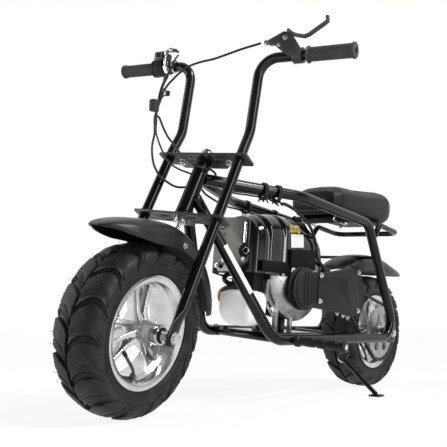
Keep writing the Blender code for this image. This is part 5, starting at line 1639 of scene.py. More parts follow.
@dataclass
class Cables:
    """The cables from the bars to the engine and the rear brake, and what holds them."""

    loops: FrameLoops
    clear: float = 0.0125 + 0.0025 + 0.0006

    def held_points(self) -> list[Vector]:
        """Gives the points where the brake cable lies along the right loop.

        Returns:
            The points.
        """
        loop = self.loops.loop(-1.0, 18.0)
        beside = []
        for before, point, after in zip(loop, loop[1:], loop[2:]):
            heading = (after - before).normalized()
            if point.y > -0.06 and point.z > 0.22:
                beside.append(point + Vector((0.0, heading.z, -heading.y)) * self.clear)
        held = []
        for start, end in zip(beside, beside[1:]):
            pieces = math.ceil((end - start).length / 0.035)
            held += [start.lerp(end, i / pieces) for i in range(pieces)]
        return [point for point in held if point.z > 0.31]

    def beside_left(self, aside: float, below: float) -> list[Vector]:
        """Gives points along the front of the left loop.

        Args:
            aside: how far inside the tube's middle.
            below: how far under it.

        Returns:
            Three points.
        """
        loop = self.loops.loop(1.0, 18.0)
        along = (loop[1] - loop[0]).normalized()
        inward = Vector((-along.y, along.x, 0.0)).normalized()
        start = loop[0] + inward * aside - Vector((0.0, 0.0, below))
        return [start + along * far for far in (0.08, 0.125, 0.168)]

    def build(self) -> None:
        """Builds the cables, the sleeve and the ties."""
        CableRun("brake_cable", [
            (0.112, -0.259, 0.7795), (0.065, -0.27, 0.7733), (0.0049, -0.285, 0.7616),
            (-0.031, -0.295, 0.758), (-0.063, -0.2985, 0.7547), (-0.0932, -0.301, 0.7438),
            (-0.1125, -0.305, 0.729), (-0.1225, -0.308, 0.719), (-0.1278, -0.314, 0.7025),
            (-0.1297, -0.321, 0.6765), (-0.129, -0.331, 0.645), (-0.1277, -0.3345, 0.6279),
            (-0.1218, -0.337, 0.6107), (-0.116, -0.34, 0.59), (-0.114, -0.345, 0.5628),
            (-0.1048, -0.35, 0.5374), (-0.0904, -0.354, 0.5123), (-0.074, -0.352, 0.49),
            (-0.0649, -0.345, 0.48), (-0.058, -0.314, 0.469), (-0.044, -0.2846, 0.4725),
            (-0.047, -0.25, 0.477), (-0.057, -0.22, 0.469), (-0.064, -0.185, 0.463),
            (-0.09, -0.12, 0.461), *self.held_points(), (-0.1, 0.3392, 0.296),
            (-0.0925, 0.3502, 0.282), (-0.08, 0.3882, 0.264), (-0.063, 0.4122, 0.2516),
        ], 0.0025, near=(-0.075, -0.352, 0.492), far=(-0.055, -0.225, 0.47)).build()
        CableRun("throttle_cable", [
            (-0.1345, -0.275, 0.8066), (-0.118, -0.297, 0.7843), (-0.1134, -0.308, 0.7627),
            (-0.127, -0.312, 0.7374), (-0.1385, -0.314, 0.7124), (-0.14, -0.318, 0.6822),
            (-0.1345, -0.3255, 0.645), (-0.12, -0.3265, 0.6321), (-0.1047, -0.3265, 0.6084),
            (-0.0842, -0.3265, 0.5821), (-0.0634, -0.3265, 0.5633), (-0.0383, -0.3275, 0.5397),
            (-0.0123, -0.329, 0.5209), (0.0106, -0.326, 0.5084), (0.021, -0.318, 0.5039),
            (0.0235, -0.302, 0.504), (0.018, -0.285, 0.506), (0.012, -0.265, 0.5035),
            (0.006, -0.25, 0.495), *self.beside_left(0.0135, 0.01), (0.077, -0.127, 0.464),
            (0.086, -0.118, 0.458),
        ], 0.0025, near=(0.0, -0.326, 0.53), far=(0.02, -0.225, 0.49)).build()
        CableRun("switch_cable", [
            (-0.1415, -0.2945, 0.748), (-0.1443, -0.3, 0.7326), (-0.1475, -0.3025, 0.7188),
            (-0.1468, -0.306, 0.7), (-0.144, -0.311, 0.6822), (-0.139, -0.3205, 0.645),
            (-0.13, -0.3265, 0.6262), (-0.1236, -0.33, 0.5985), (-0.1093, -0.332, 0.5748),
            (-0.093, -0.333, 0.5516), (-0.0757, -0.334, 0.5311), (-0.0572, -0.334, 0.5156),
            (-0.0385, -0.328, 0.5041), (-0.0334, -0.312, 0.5011), (-0.027, -0.286, 0.498),
            (-0.0185, -0.262, 0.501), (-0.005, -0.242, 0.488), *self.beside_left(0.005, 0.017),
            (0.073, -0.131, 0.46), (0.08, -0.118, 0.452),
        ], 0.002, near=(-0.045, -0.334, 0.512), far=(0.0, -0.225, 0.48)).build()
        self.sleeve()
        self.ties()

    def sleeve(self) -> None:
        """Draws the corrugated sleeve round the cables along the engine."""
        line = smooth_line([
            (0.084, -0.112, 0.4565), (0.078, -0.09, 0.46), (0.071, -0.034, 0.453),
            (0.066, 0.028, 0.429), (0.0665, 0.058, 0.395), (0.0655, 0.076, 0.352),
            (0.062, 0.098, 0.338), (0.054, 0.128, 0.326), (0.0455, 0.148, 0.318),
            (0.0385, 0.16, 0.315),
        ], 0.0014)
        piece = Bench.hose("cable_sleeve_ribbed", line, 0.0036, 6)
        rings = []
        for index in range(4, len(line) - 4, 4):
            on = (line[index + 1] - line[index - 1]).normalized()
            rings.append(Bench.hoop("rib", line[index], on, 0.0034, 0.0007, 18))
        keep(Bench.joined("cable_sleeve_ribbed", [piece, *rings]), Body.CHASSIS, CABLE_SKIN, "cable_sleeve")

    def ties(self) -> None:
        """Binds the cables to the loops with straps and cut tails."""
        made = []
        left, right = self.loops.loop(1.0), self.loops.loop(-1.0)
        for line, y, grow, down, tails in (
            (left, -0.16, 0.0185, 0.004, 3), (left, -0.128, 0.0185, 0.004, 2),
            (right, -0.015, 0.0165, 0.003, 2), (right, 0.105, 0.0165, 0.003, 1),
        ):
            start, end = next(pair for pair in zip(line, line[1:])
                              if min(pair[0].y, pair[1].y) <= y < max(pair[0].y, pair[1].y))
            point = start.lerp(end, (y - start.y) / (end.y - start.y))
            on = (end - start).normalized()
            for shift in (-0.003, 0.0, 0.003):
                centre = point + on * shift - Vector((0, 0, down))
                made.append(Bench.hoop("tie", centre, on, grow, 0.0021, 32))
            for i in range(tails):
                foot = point - Vector((0, 0, down + grow * 0.9)) + on * (0.008 * (i - 1))
                tip = foot + Vector((0.003 * (i - 1), 0.002 * i, -0.0075))
                made.append(Bench.rod("tie", foot, tip, 0.0019, 8, 0.0004))
        keep(Bench.joined("cable_ties", made), Body.CHASSIS, CABLE_SKIN)


@dataclass
class Engine:
    """The shroud with its guard, labels, fins and fastenings."""

    face: float = -0.1645
    low: float = 0.296
    wall: float = 0.003
    corner: float = 0.056
    sections: tuple[tuple[float, float, float, float], ...] = (
        (-0.158, 0.038, -0.06, 0.414), (-0.147, 0.051, -0.066, 0.427), (-0.124, 0.056, -0.069, 0.433),
        (-0.114, 0.052, -0.067, 0.429), (-0.102, 0.058, -0.07, 0.438), (-0.07, 0.059, -0.07, 0.442),
        (-0.06, 0.055, -0.068, 0.438), (-0.048, 0.06, -0.07, 0.445), (-0.014, 0.06, -0.07, 0.445),
        (-0.004, 0.056, -0.068, 0.441), (0.008, 0.06, -0.07, 0.444), (0.06, 0.06, -0.07, 0.436),
        (0.1, 0.056, -0.065, 0.416), (0.13, 0.046, -0.056, 0.382),
    )

    def build(self) -> None:
        """Builds the shroud's skin and everything small on the engine."""
        self.shroud()
        self.matt_parts()
        self.guard_details()
        self.labels()
        self.case_details()
        self.housing_details()
        self.hoses()
        self.starter_details()

    def section(self, y: float) -> tuple[float, float, float]:
        """Finds the shroud's width and height at a place along it.

        Args:
            y: the place along the bike.

        Returns:
            The left side, the right side and the top.
        """
        rows = self.sections
        place = max(i for i in range(len(rows) - 1) if rows[i][0] <= max(y, rows[0][0]) + 1e-9)
        first, second = rows[place], rows[place + 1]
        t = min(1.0, max(0.0, (y - first[0]) / (second[0] - first[0])))
        t = t * t * (3 - 2 * t)
        return tuple(a + (b - a) * t for a, b in zip(first[1:], second[1:]))

    def shroud(self) -> None:
        """Shapes the shroud's smooth skin from a grid wrapped over its sections."""
        columns, rows = 96, 150
        Bench.clear()
        bpy.ops.mesh.primitive_grid_add(x_subdivisions=columns, y_subdivisions=rows, size=1.0)
        skin = Bench.named("shroud_skin")
        start, end = self.sections[0][0], self.sections[-1][0]

        def wrap(point: Vector) -> Vector:
            """Lays a point of the flat grid on the arched shroud.

            Args:
                point: a point of the shape that is bent.

            Returns:
                Its new place.
            """
            t = point.y + 0.5
            pull = 1.0
            if t < 0.04:
                pull = t / 0.04
            elif t > 0.96:
                pull = (1.0 - t) / 0.04
            share = min(1.0, max(0.0, (t - 0.04) / 0.92))
            y = start + (end - start) * share
            left, right, top = self.section(y)
            x, z = self.arch(point.x + 0.5, left, right, top)
            middle = (left + right) / 2
            return Vector((middle + (x - middle) * pull, y, z))

        Bench.moved(skin, wrap)
        Bench.edit(skin)
        bpy.ops.mesh.remove_doubles(threshold=2e-5)
        bpy.ops.mesh.normals_make_consistent(inside=False)
        Bench.clear()
        Bench.apply(skin, "SOLIDIFY", thickness=self.wall, offset=-1.0)
        keep(skin, Body.CHASSIS, SHROUD_GLOSS, "engine_shroud", sharp=40)

    def arch(self, s: float, left: float, right: float, top: float) -> tuple[float, float]:
        """Finds a point round an arched section.

        Args:
            s: from 0 at the left foot to 1 at the right foot.
            left: the left side.
            right: the right side.
            top: the top.

        Returns:
            The distance across and the height.
        """
        r = self.corner
        quarter = math.pi / 2 * r
        up = top - r - self.low
        over = (left - r) - (right + r)
        total = 2 * up + 2 * quarter + over
        far = s * total
        if far <= up:
            return left, self.low + far
        if far <= up + quarter:
            angle = (far - up) / r
            return left - r + r * math.cos(angle), top - r + r * math.sin(angle)
        if far <= up + quarter + over:
            return left - r - (far - up - quarter), top
        if far <= up + 2 * quarter + over:
            angle = math.pi / 2 + (far - up - quarter - over) / r
            return right + r + r * math.cos(angle), top - r + r * math.sin(angle)
        return right, top - r - (far - up - 2 * quarter - over)

    def matt_parts(self) -> None:
        """Lays the dull band along the shroud's lower left edge, and the apron over the clutch."""
        for name, x, thick, bevel, outline in (
            ("shroud_band", 0.0608, 0.0012, 0.0005,
             ((-0.14, 0.301), (0.01, 0.301), (0.01, 0.33), (-0.14, 0.326))),
            ("shroud_apron", 0.0585, 0.009, 0.0012,
             ((-0.039, 0.318), (0.068, 0.318), (0.065, 0.3684), (-0.04, 0.36))),
        ):
            plate = Bench.plate(name, [(x, y, z) for y, z in outline], (thick, 0, 0), bevel)
            keep(plate, Body.CHASSIS, SHROUD_MATT)

    def guard_details(self) -> None:
        """Adds a dark matt block as painted shade in the gap between panel and dome, a bright plated strip in
        it as a painted glint on the dome's rounded corner, the boss, the louvres' curved lips and the bolts.
        """
        face = self.face
        # a dark block painted as the shade in the gap, and a bright strip painted as the glint on the dome's
        # corner
        for name, finish, low, high in (
            ("guard_slot", SHROUD_MATT, (0.019, face - 0.0012, 0.36), (0.0335, face + 0.002, 0.412)),
            ("guard_strip", BRIGHT_PLATING, (0.0225, face - 0.0024, 0.362), (0.03, face + 0.0008, 0.41)),
        ):
            keep(Bench.block(name, low, high, 0.001), Body.CHASSIS, finish)
        rows = [(0.0, 0.0), (0.0, 0.015), (0.0016, 0.015), (0.0022, 0.0142), (0.0022, 0.0)]
        socket = Bench.turned("guard_socket", rows, (0.025, face + 0.0005, 0.344), (0, -1, 0), 40)
        keep(socket, Body.CHASSIS, SHROUD_MATT)
        ring = Bench.turned("guard_boss", [(0.0018, 0.006), (0.0018, 0.0078), (0.003, 0.0082),
                                           (0.0052, 0.008), (0.0058, 0.0074), (0.0058, 0.0064)],
                            (0.0345, face, 0.344), (0, -1, 0), 36, ring=True)
        keep(ring, Body.CHASSIS, BRIGHT_PLATING)
        lips = []
        for row in range(4):
            z = 0.399 - 0.015 * row
            for x, y, on in ((-0.054, face, Vector((0, -1, 0))), (-0.0762, -0.118, Vector((-1, 0, 0)))):
                along = Vector((0.011, 0, 0)) if on.y else Vector((0, 0.028, 0))
                middle = Vector((x, y, z - (0.06 if on.x else 0.0)))
                line = smooth_line([middle - along, middle - along * 0.7 + on * 0.0035,
                                    middle + on * 0.005, middle + along * 0.7 + on * 0.0035,
                                    middle + along], 0.003)
                lips.append(Bench.hose("lip", line, 0.0018, 5))
        keep(Bench.joined("guard_louvres", lips), Body.CHASSIS, BRIGHT_PLATING)
        Fastener(0.008, 0.004, 0.0062).place(
            "guard_bolts", [(-0.035, face, 0.322), (0.026, face, 0.323), (-0.056, face, 0.308)],
            (0, -1, 0), Body.CHASSIS)

    def labels(self) -> None:
        """Lays the two blank labels on the shroud's left side."""
        for name, finish, rows in (
            ("gold_label", GOLD_LABEL,
             ((-0.042, 0.401), (0.008, 0.407), (0.01, 0.424), (-0.033, 0.4235))),
            ("white_label", WHITE_LABEL,
             ((-0.033, 0.365), (0.019, 0.3705), (0.016, 0.4025), (-0.037, 0.397))),
        ):
            Bench.clear()
            bpy.ops.mesh.primitive_grid_add(x_subdivisions=14, y_subdivisions=14, size=1.0)
            label = Bench.named(name)
            corners = [Vector((0, *row)) for row in rows]

            def onto_shroud(point: Vector) -> Vector:
                """Lays a point of the label on the shroud's skin.

                Args:
                    point: a point of the shape that is bent.

                Returns:
                    Its new place.
                """
                u, v = point.x + 0.5, point.y + 0.5
                low = corners[0].lerp(corners[1], u)
                high = corners[3].lerp(corners[2], u)
                place = low.lerp(high, v)
                left, _, top = self.section(place.y)
                rise = place.z - (top - self.corner)
                out = 0.0007
                if rise <= 0:
                    return Vector((left + out, place.y, place.z))
                angle = math.asin(min(0.999, rise / (self.corner + out)))
                x = left - self.corner + (self.corner + out) * math.cos(angle)
                return Vector((x, place.y, place.z))

            Bench.moved(label, onto_shroud)
            Bench.mended(label)
            Bench.apply(label, "SOLIDIFY", thickness=0.0004, offset=0.0)
            keep(label, Body.CHASSIS, finish)

    def case_details(self) -> None:
        """Adds the chain case's screws, raised rings, ridges and studs, and the plain cap of its disc."""
        x = 0.0935
        seats = [(x, 0.053, 0.306), (x, 0.053, 0.243), (x, 0.237, 0.3265), (x, 0.242, 0.224)]
        Fastener(0.0085, 0.004, 0.0064, 0.0008).place("case_screws", seats, (1, 0, 0), Body.CHASSIS,
                                                       BRIGHT_PLATING)
        disc = (0.0955, 0.212, 0.277)
        rings = [Bench.hoop("ring", disc, (1, 0, 0), radius, thick, 64)
                 for radius, thick in ((0.0335, 0.0007), (0.0295, 0.0005))]
        for radius, place in ((0.0515, 0.07), (0.05, 0.0795), (0.043, 0.0889)):
            rings.append(Bench.hoop("ring", (place, 0.006, 0.27), (1, 0, 0), radius, 0.0011, 64))
        keep(Bench.joined("case_rings", rings), Body.CHASSIS, MOULDED_BLACK)
        ribs = []
        for y, reach in ((-0.006, 0.04), (0.008, 0.04), (0.022, 0.036), (0.032, 0.034),
                         (0.04, 0.033)):
            low, high = (0.0889, y, 0.27 - reach), (0.0889, y, 0.27 + reach)
            ribs.append(Bench.rod("rib", low, high, 0.0021, 14, 0.0008))
        keep(Bench.joined("case_ridges", ribs), Body.CHASSIS, MOULDED_BLACK)
        cap = Bench.turned("case_cap", [(0.0, 0.0), (0.0, 0.0275), (0.0009, 0.027), (0.0013, 0.024),
                                        (0.0013, 0.0)], (0.0953, 0.212, 0.277), (1, 0, 0), 64)
        keep(cap, Body.CHASSIS, MOULDED_BLACK)
        Fastener(0.0085, 0.005, 0.0062, 0.004).place(
            "case_studs", [(0.08, 0.16, 0.2185), (0.08, 0.19, 0.2135), (0.08, 0.214, 0.208)],
            (0, -0.1, -1), Body.CHASSIS)

    def housing_details(self) -> None:
        """Adds the housing's ribs, drain plug, foot nuts and the cylinder's cooling fins."""
        ribs = []
        for degrees in (205, 228, 251, 274, 297, 320):
            angle = math.radians(degrees)
            out = Vector((0, math.cos(angle), math.sin(angle)))
            middle = Vector((0, 0.03, 0.295))
            ribs.append(Bench.rod("rib", middle + out * 0.07 + Vector((0.056, 0, 0)),
                                  middle + out * 0.101 + Vector((0.0385, 0, 0)), 0.0024, 14, 0.0008))
        keep(Bench.joined("housing_ribs", ribs), Body.CHASSIS, ROUGH_ALLOY)
        Fastener(0.012, 0.006, 0.0085).place("drain_plug", [(0.0385, -0.064, 0.213)], (1, -0.2, -0.2),
                                               Body.CHASSIS)
        Fastener(0.01, 0.0045, 0.0085, 0.003).place(
            "foot_nuts", [(0.036, -0.047, 0.159), (0.036, 0.012, 0.159), (-0.03, -0.03, 0.159),
                          (-0.03, 0.06, 0.159)], (0, 0, -1), Body.CHASSIS)
        fins = []
        for i in range(6):
            z = 0.258 + 0.007 * i
            fins.append(Bench.block("fin", (-0.056, -0.1215, z), (0.017, -0.114, z + 0.0022), 0.0007))
        keep(Bench.joined("cylinder_fins", fins), Body.CHASSIS, CAST_DARK)
        Fastener(0.009, 0.006, 0.0062, 0.004).place(
            "carburettor_nuts", [(-0.027, 0.106, 0.298), (0.007, 0.106, 0.298)], (0, 1, 0),
            Body.CHASSIS)

    def hoses(self) -> None:
        """Runs the amber fuel tube with its clamp, and the black breather hose."""
        fuel = Bench.hose("fuel_line", smooth_line([
            (-0.044, -0.1485, 0.223), (-0.05, -0.1525, 0.229), (-0.0525, -0.153, 0.24),
            (-0.05, -0.15, 0.251), (-0.042, -0.138, 0.26), (-0.03, -0.124, 0.266),
        ], 0.003), 0.004)
        keep(fuel, Body.CHASSIS, FUEL_TUBE)
        hose = Bench.hose("breather_hose", smooth_line([
            (-0.046, -0.122, 0.295), (-0.052, -0.133, 0.288), (-0.048, -0.144, 0.278),
            (-0.036, -0.146, 0.27), (-0.025, -0.136, 0.264), (-0.018, -0.123, 0.262),
        ], 0.004), 0.0058)
        keep(hose, Body.CHASSIS, CABLE_SKIN)
        clamp = Bench.hoop("fuel_clamp", (-0.0445, -0.1418, 0.258), (0.5, 0.7, 0.5), 0.0045, 0.001, 24)
        keep(clamp, Body.CHASSIS, GOLD_LABEL)

    def starter_details(self) -> None:
        """Adds the starter's raised vanes, handle and rope guide on the right."""
        vanes = []
        for i in range(10):
            angle = 2 * math.pi * i / 10
            out = Vector((0, math.cos(angle), math.sin(angle)))
            on = Vector((0, math.cos(angle + 0.35), math.sin(angle + 0.35)))
            middle = Vector((-0.0985, 0.03, 0.345))
            vanes.append(Bench.rod("vane", middle + out * 0.02, middle + on * 0.042 + Vector((0.001, 0, 0)),
                                   0.0018, 12, 0.0008))
        keep(Bench.joined("starter_vanes", vanes), Body.CHASSIS, MOULDED_BLACK)
        handle = Bench.hose("starter_handle", bent_line([
            ((-0.09, 0.072, 0.396), 0.0), ((-0.09, 0.072, 0.41), 0.004),
            ((-0.09, 0.1, 0.41), 0.004), ((-0.09, 0.1, 0.396), 0.0)], 15), 0.0042)
        rope = Bench.rod("starter_handle", (-0.09, 0.06, 0.37), (-0.09, 0.086, 0.41), 0.0016, 10)
        keep(Bench.joined("starter_handle", [handle, rope]), Body.CHASSIS, MOULDED_BLACK)


@dataclass
class DriveChain:
    """The roller chain round both sprockets, link by link."""

    plane: float = 0.06
    rear_radius: float = 0.0815
    front_radius: float = 0.019
    front: tuple[float, float] = (0.215, 0.277)
    pitch: float = 0.008

    def path(self) -> list[Vector]:
        """Gives evenly set points once round the chain's middle line.

        Returns:
            The points.
        """
        rear = Vector((0, STANCE.rear_axle[1], STANCE.rear_axle[2]))
        front = Vector((0, *self.front))
        span = rear - front
        heading = math.atan2(span.z, span.y)
        tilt = math.acos((self.rear_radius - self.front_radius) / span.length)
        points = []
        for centre, radius, start, end, count in (
            (front, self.front_radius, heading + math.pi - tilt, heading + math.pi + tilt, 40),
            (rear, self.rear_radius, heading - math.pi + tilt, heading + math.pi - tilt, 90),
        ):
            for i in range(count + 1):
                angle = start + (end - start) * i / count
                points.append(Vector((self.plane, centre.y + radius * math.cos(angle),
                                      centre.z + radius * math.sin(angle))))
        points.append(points[0])
        lengths = [0.0]
        for first, second in zip(points, points[1:]):
            lengths.append(lengths[-1] + (second - first).length)
        count = 2 * round(lengths[-1] / self.pitch / 2)
        result, place = [], 0
        for i in range(count):
            wanted = lengths[-1] * i / count
            while lengths[place + 1] < wanted:
                place += 1
            share = (wanted - lengths[place]) / (lengths[place + 1] - lengths[place])
            result.append(points[place].lerp(points[place + 1], share))
        return result

    def build(self) -> None:
        """Builds the links and rollers."""
        path = self.path()
        pieces = []
        for kind, offset in ((0, 0.003), (1, 0.002)):
            link = self.link(offset)
            places = []
            for i in range(kind, len(path), 2):
                start, end = path[i], path[(i + 1) % len(path)]
                on = (end - start).normalized()
                turn = Matrix((Vector((1, 0, 0)), on, Vector((1, 0, 0)).cross(on))).transposed().to_4x4()
                places.append(Matrix.Translation((start + end) / 2) @ turn)
            pieces.append(Bench.copies("link", link, places))
        roller = Bench.rod("roller", (-0.0036, 0, 0), (0.0036, 0, 0), 0.0021, 10, 0.0)
        pieces.append(Bench.copies("roller", roller, [Matrix.Translation(point) for point in path]))
        keep(Bench.joined("chain_links", pieces), Body.CHASSIS, CHAIN_STEEL, "drive_chain", sharp=30)

    def link(self, offset: float) -> Thing:
        """Makes one link's two side plates about the origin.

        Args:
            offset: how far each plate is from the chain's middle.

        Returns:
            The two plates.
        """
        half = self.pitch / 2
        outline = []
        for centre, first in ((half, -70), (-half, 110)):
            for k in range(5):
                angle = math.radians(first + 35 * k)
                outline.append((centre + 0.0035 * math.cos(angle), 0.0035 * math.sin(angle)))
        plates = [Bench.plate("link", [(side * offset, y, z) for y, z in outline], (side * 0.0009, 0, 0), 0.0)
                  for side in (1, -1)]
        return Bench.joined("link", plates)


@dataclass
class Seat:
    """The stuffed seat with its seam, ribbed panel and mounts."""

    fill: float = 0.6
    swell: float = 0.0045
    shrink: float = 0.0006
    low: float = 0.4832
    side: float = 0.0838
    stitches: int = 48

    def build(self) -> None:
        """Builds the pad, its piping and the plates under it."""
        self.pad()
        self.mounts()

    def shape(self) -> Thing:
        """Copies the pad's solid, merges it and draws it in a little before it swells.

        Returns:
            The pad.
        """
        pad = Bench.solid("seat_cushion", "seat_pad")
        pad.data.transform(STANCE.parked().inverted())
        middle = sum((v.co for v in pad.data.vertices), Vector()) / len(pad.data.vertices)
        scale = Matrix.Diagonal((0.985, 0.998, 0.995, 1.0))
        pad.data.transform(Matrix.Translation(middle) @ scale @ Matrix.Translation(-middle))
        Bench.apply(pad, "REMESH", mode="VOXEL", voxel_size=0.0045)
        Bench.apply(pad, "SMOOTH", factor=0.5, iterations=1)
        return pad

    def pad(self) -> None:
        """Swells the pad under pressure, caps how far it moves, presses its seams in and sews it."""
        pad = self.shape()
        rest = [(vertex.co.copy(), vertex.normal.copy()) for vertex in pad.data.vertices]
        Bench.take(pad)
        modifier = pad.modifiers.new("stuffing", "CLOTH")
        cloth = modifier.settings
        cloth.use_pressure = True
        cloth.uniform_pressure_force = 4.0
        cloth.effector_weights.gravity = 0.0
        cloth.quality = 6
        for number in range(1, 21):
            bpy.context.scene.frame_set(number)
        bpy.ops.object.modifier_apply(modifier=modifier.name)
        bpy.context.scene.frame_set(1)
        Bench.clear()
        for vertex, (start, facing) in zip(pad.data.vertices, rest):
            out = (vertex.co - start).dot(facing)
            vertex.co = start + facing * max(-self.shrink, min(self.swell, out))
        Bench.moved(pad, self.pressed)
        Bench.apply(pad, "SUBSURF", levels=1, render_levels=1)
        self.piping(pad)
        keep(pad, Body.CHASSIS, SEAT_VINYL, "seat_pad", sharp=60)

    def pressed(self, point: Vector) -> Vector:
        """Keeps the pad flat on its pan, presses its ribs and edge seam in, and lifts its rear end.

        Args:
            point: a vertex of the pad.

        Returns:
            Its new place.
        """
        point.z = max(self.low, point.z)
        point.x = max(-self.side, min(self.side, point.x))
        inside = max(0.0, min(1.0, (point.y - 0.142) / 0.006, (0.236 - point.y) / 0.006,
                              (point.z - 0.497) / 0.008, (abs(point.x) - 0.06) / 0.008))
        groove = max(0.0, math.cos((point.y - 0.14) / 0.0085 * 2 * math.pi))
        point.x -= math.copysign(0.0011 * groove * inside, point.x)
        top = self.crown(point.y)
        outer = min(1.0, max(0.0, (abs(point.x) - 0.055) / 0.01))
        edge = math.exp(-(((point.z - (top - 0.013)) / 0.0028) ** 2)) * outer
        point.x -= math.copysign(0.0014 * edge, point.x)
        back = min(1.0, max(0.0, (point.y - 0.35) / 0.08))
        point.y += 0.009 * back
        point.z += (0.003 + 0.005 * back) * min(1.0, max(0.0, (point.z - self.low) / 0.06))
        return point

    def crown(self, y: float) -> float:
        """Gives the pad's top at a place along the bike.

        Args:
            y: the place along the bike.

        Returns:
            The top's height.
        """
        rows = ((0.13, 0.522), (0.136, 0.538), (0.168, 0.55), (0.26, 0.556), (0.35, 0.568), (0.415, 0.575),
                (0.442, 0.569), (0.45, 0.556))
        y = min(max(y, rows[0][0]), rows[-1][0])
        place = max(i for i in range(len(rows) - 1) if rows[i][0] <= y)
        (y0, z0), (y1, z1) = rows[place], rows[place + 1]
        return z0 + (z1 - z0) * (y - y0) / (y1 - y0)

    def piping(self, pad: Thing) -> None:
        """Sews the stitched seam along the upper edge of both sides.

        Args:
            pad: the finished pad, whose skin the stitches lie on.
        """
        skin = pad.evaluated_get(bpy.context.evaluated_depsgraph_get())
        one = Bench.rod("stitch", (0, -0.0021, 0), (0, 0.0021, 0), 0.00045, 6, 0.0)
        places = []
        for side in (1, -1):
            for i in range(self.stitches):
                y = 0.15 + 0.0058 * i
                z = self.crown(y) - 0.008
                slope = math.atan2(self.crown(y + 0.003) - self.crown(y - 0.003), 0.006)
                on = skin.closest_point_on_mesh(Vector((side * 0.0835, y, z)))[1]
                places.append(Matrix.Translation(on) @ Matrix.Rotation(slope, 4, "X"))
        keep(Bench.copies("seat_stitches", one, places), Body.CHASSIS, SEAM_THREAD)

    def mounts(self) -> None:
        """Builds the bright plates and bolts between seat and frame."""
        plates = []
        for side in (1, -1):
            corners = [(side * 0.05, 0.165, 0.46), (side * 0.05, 0.235, 0.456),
                       (side * 0.05, 0.232, 0.4786), (side * 0.05, 0.168, 0.4786)]
            plates.append(Bench.plate("mount", corners, (side * 0.0022, 0, 0), 0.0004))
        keep(Bench.joined("seat_mounts", plates), Body.CHASSIS, BRIGHT_PLATING)
        Fastener(0.01, 0.005, 0.0075, 0.003).place(
            "seat_nuts", [(0.055, 0.23, 0.479), (-0.055, 0.23, 0.479), (0.055, 0.38, 0.479),
                          (-0.055, 0.38, 0.479)], (0, 0, -1), Body.CHASSIS)


@dataclass
class Trim:
    """Small things on the mudguards, the brake, the rear hub and the tank."""

    def build(self) -> None:
        """Builds the trim."""
        for part, side in (("left", 1), ("right", -1)):
            Fastener(0.008, 0.003, 0.0062).place(
                f"guard_screw_{part}", [(side * 0.06, -0.3977, 0.3341)], (side, 0, 0), Body.STEER)
        stay = Bench.rod("guard_stay", (-0.095, 0.331, 0.376), (0.095, 0.331, 0.376), 0.0045, 20)
        keep(stay, Body.CHASSIS, TUBE_PAINT)
        self.calliper()
        self.tank()
        self.wheel_bolts()

    def calliper(self) -> None:
        """Adds the brake's pivot bolts and arm."""
        y, z = STANCE.rear_axle[1], STANCE.rear_axle[2]
        Fastener(0.01, 0.0045, 0.007, 0.002).place(
            "calliper_bolts", [(-0.0737, y - 0.044, z + 0.068), (-0.0737, y - 0.018, z + 0.068)], (-1, 0, 0),
            Body.CHASSIS)
        corners = [(-0.064, y - 0.036, z + 0.0835), (-0.056, y - 0.036, z + 0.0835),
                   (-0.056, y - 0.03, z + 0.0935), (-0.064, y - 0.03, z + 0.0935)]
        keep(Bench.plate("calliper_arm", corners, (0, 0.003, 0), 0.0004), Body.CHASSIS, ZINC)

    def tank(self) -> None:
        """Shapes the moulded tank and the ribs of its cap."""
        Bench.clear()
        bpy.ops.mesh.primitive_cube_add(size=2.0, location=(0, 0, 0))
        tank = Bench.named("fuel_tank_moulded")
        Bench.edit(tank)
        bpy.ops.mesh.subdivide(number_cuts=9)
        Bench.clear()
        low, high = Vector((-0.0485, -0.166, 0.1735)), Vector((0.052, -0.093, 0.2555))
        middle, half = (low + high) / 2, (high - low) / 2

        def swollen(point: Vector) -> Vector:
            """Rounds the cube into the tank, with its lower front drawn in.

            Args:
                point: a point of the shape that is bent.

            Returns:
                Its new place.
            """
            size = sum(abs(c) ** 5 for c in point) ** 0.2
            place = Vector(c / size * max(abs(c) for c in point) for c in point)
            draw = max(0.0, -place.z) ** 2
            place.x *= 1.0 - 0.3 * draw
            place.y += 0.3 * draw * max(0.0, -place.y)
            return middle + Vector(a * b for a, b in zip(place, half))

        Bench.moved(tank, swollen)
        Bench.mended(tank)
        Bench.apply(tank, "SUBSURF", levels=1, render_levels=1)
        keep(tank, Body.CHASSIS, TANK_WHITE, "fuel_tank", sharp=70)
        axis = Vector((-0.25, -0.25, 0.94)).normalized()
        foot = Vector((-0.03, -0.142, 0.244)) - axis * 0.004
        aside = axis.cross(Vector((1, 0, 0))).normalized()
        one = Bench.rod("rib", foot + aside * 0.0153 + axis * 0.0075, foot + aside * 0.015 + axis * 0.019,
                        0.0011, 8, 0.0004)
        places = [Matrix.Translation(foot) @ Matrix.Rotation(2 * math.pi * i / 20, 4, axis)
                  @ Matrix.Translation(-foot) for i in range(20)]
        keep(Bench.copies("cap_ribs", one, places), Body.CHASSIS, CAP_BLACK)

    def wheel_bolts(self) -> None:
        """Adds the bolts that hold the sprocket and the brake disc to the hub."""
        y, z = STANCE.rear_axle[1], STANCE.rear_axle[2]
        for name, x, side in (("sprocket_bolts", 0.0616, 1), ("disc_bolts", -0.0631, -1)):
            seats = []
            for i in range(6):
                angle = math.radians(30 + 60 * i)
                seats.append((x, y + 0.0275 * math.cos(angle), z + 0.0275 * math.sin(angle)))
            Fastener(0.007, 0.0035, 0.005, 0.0).place(name, seats, (side, 0, 0), Body.REAR)


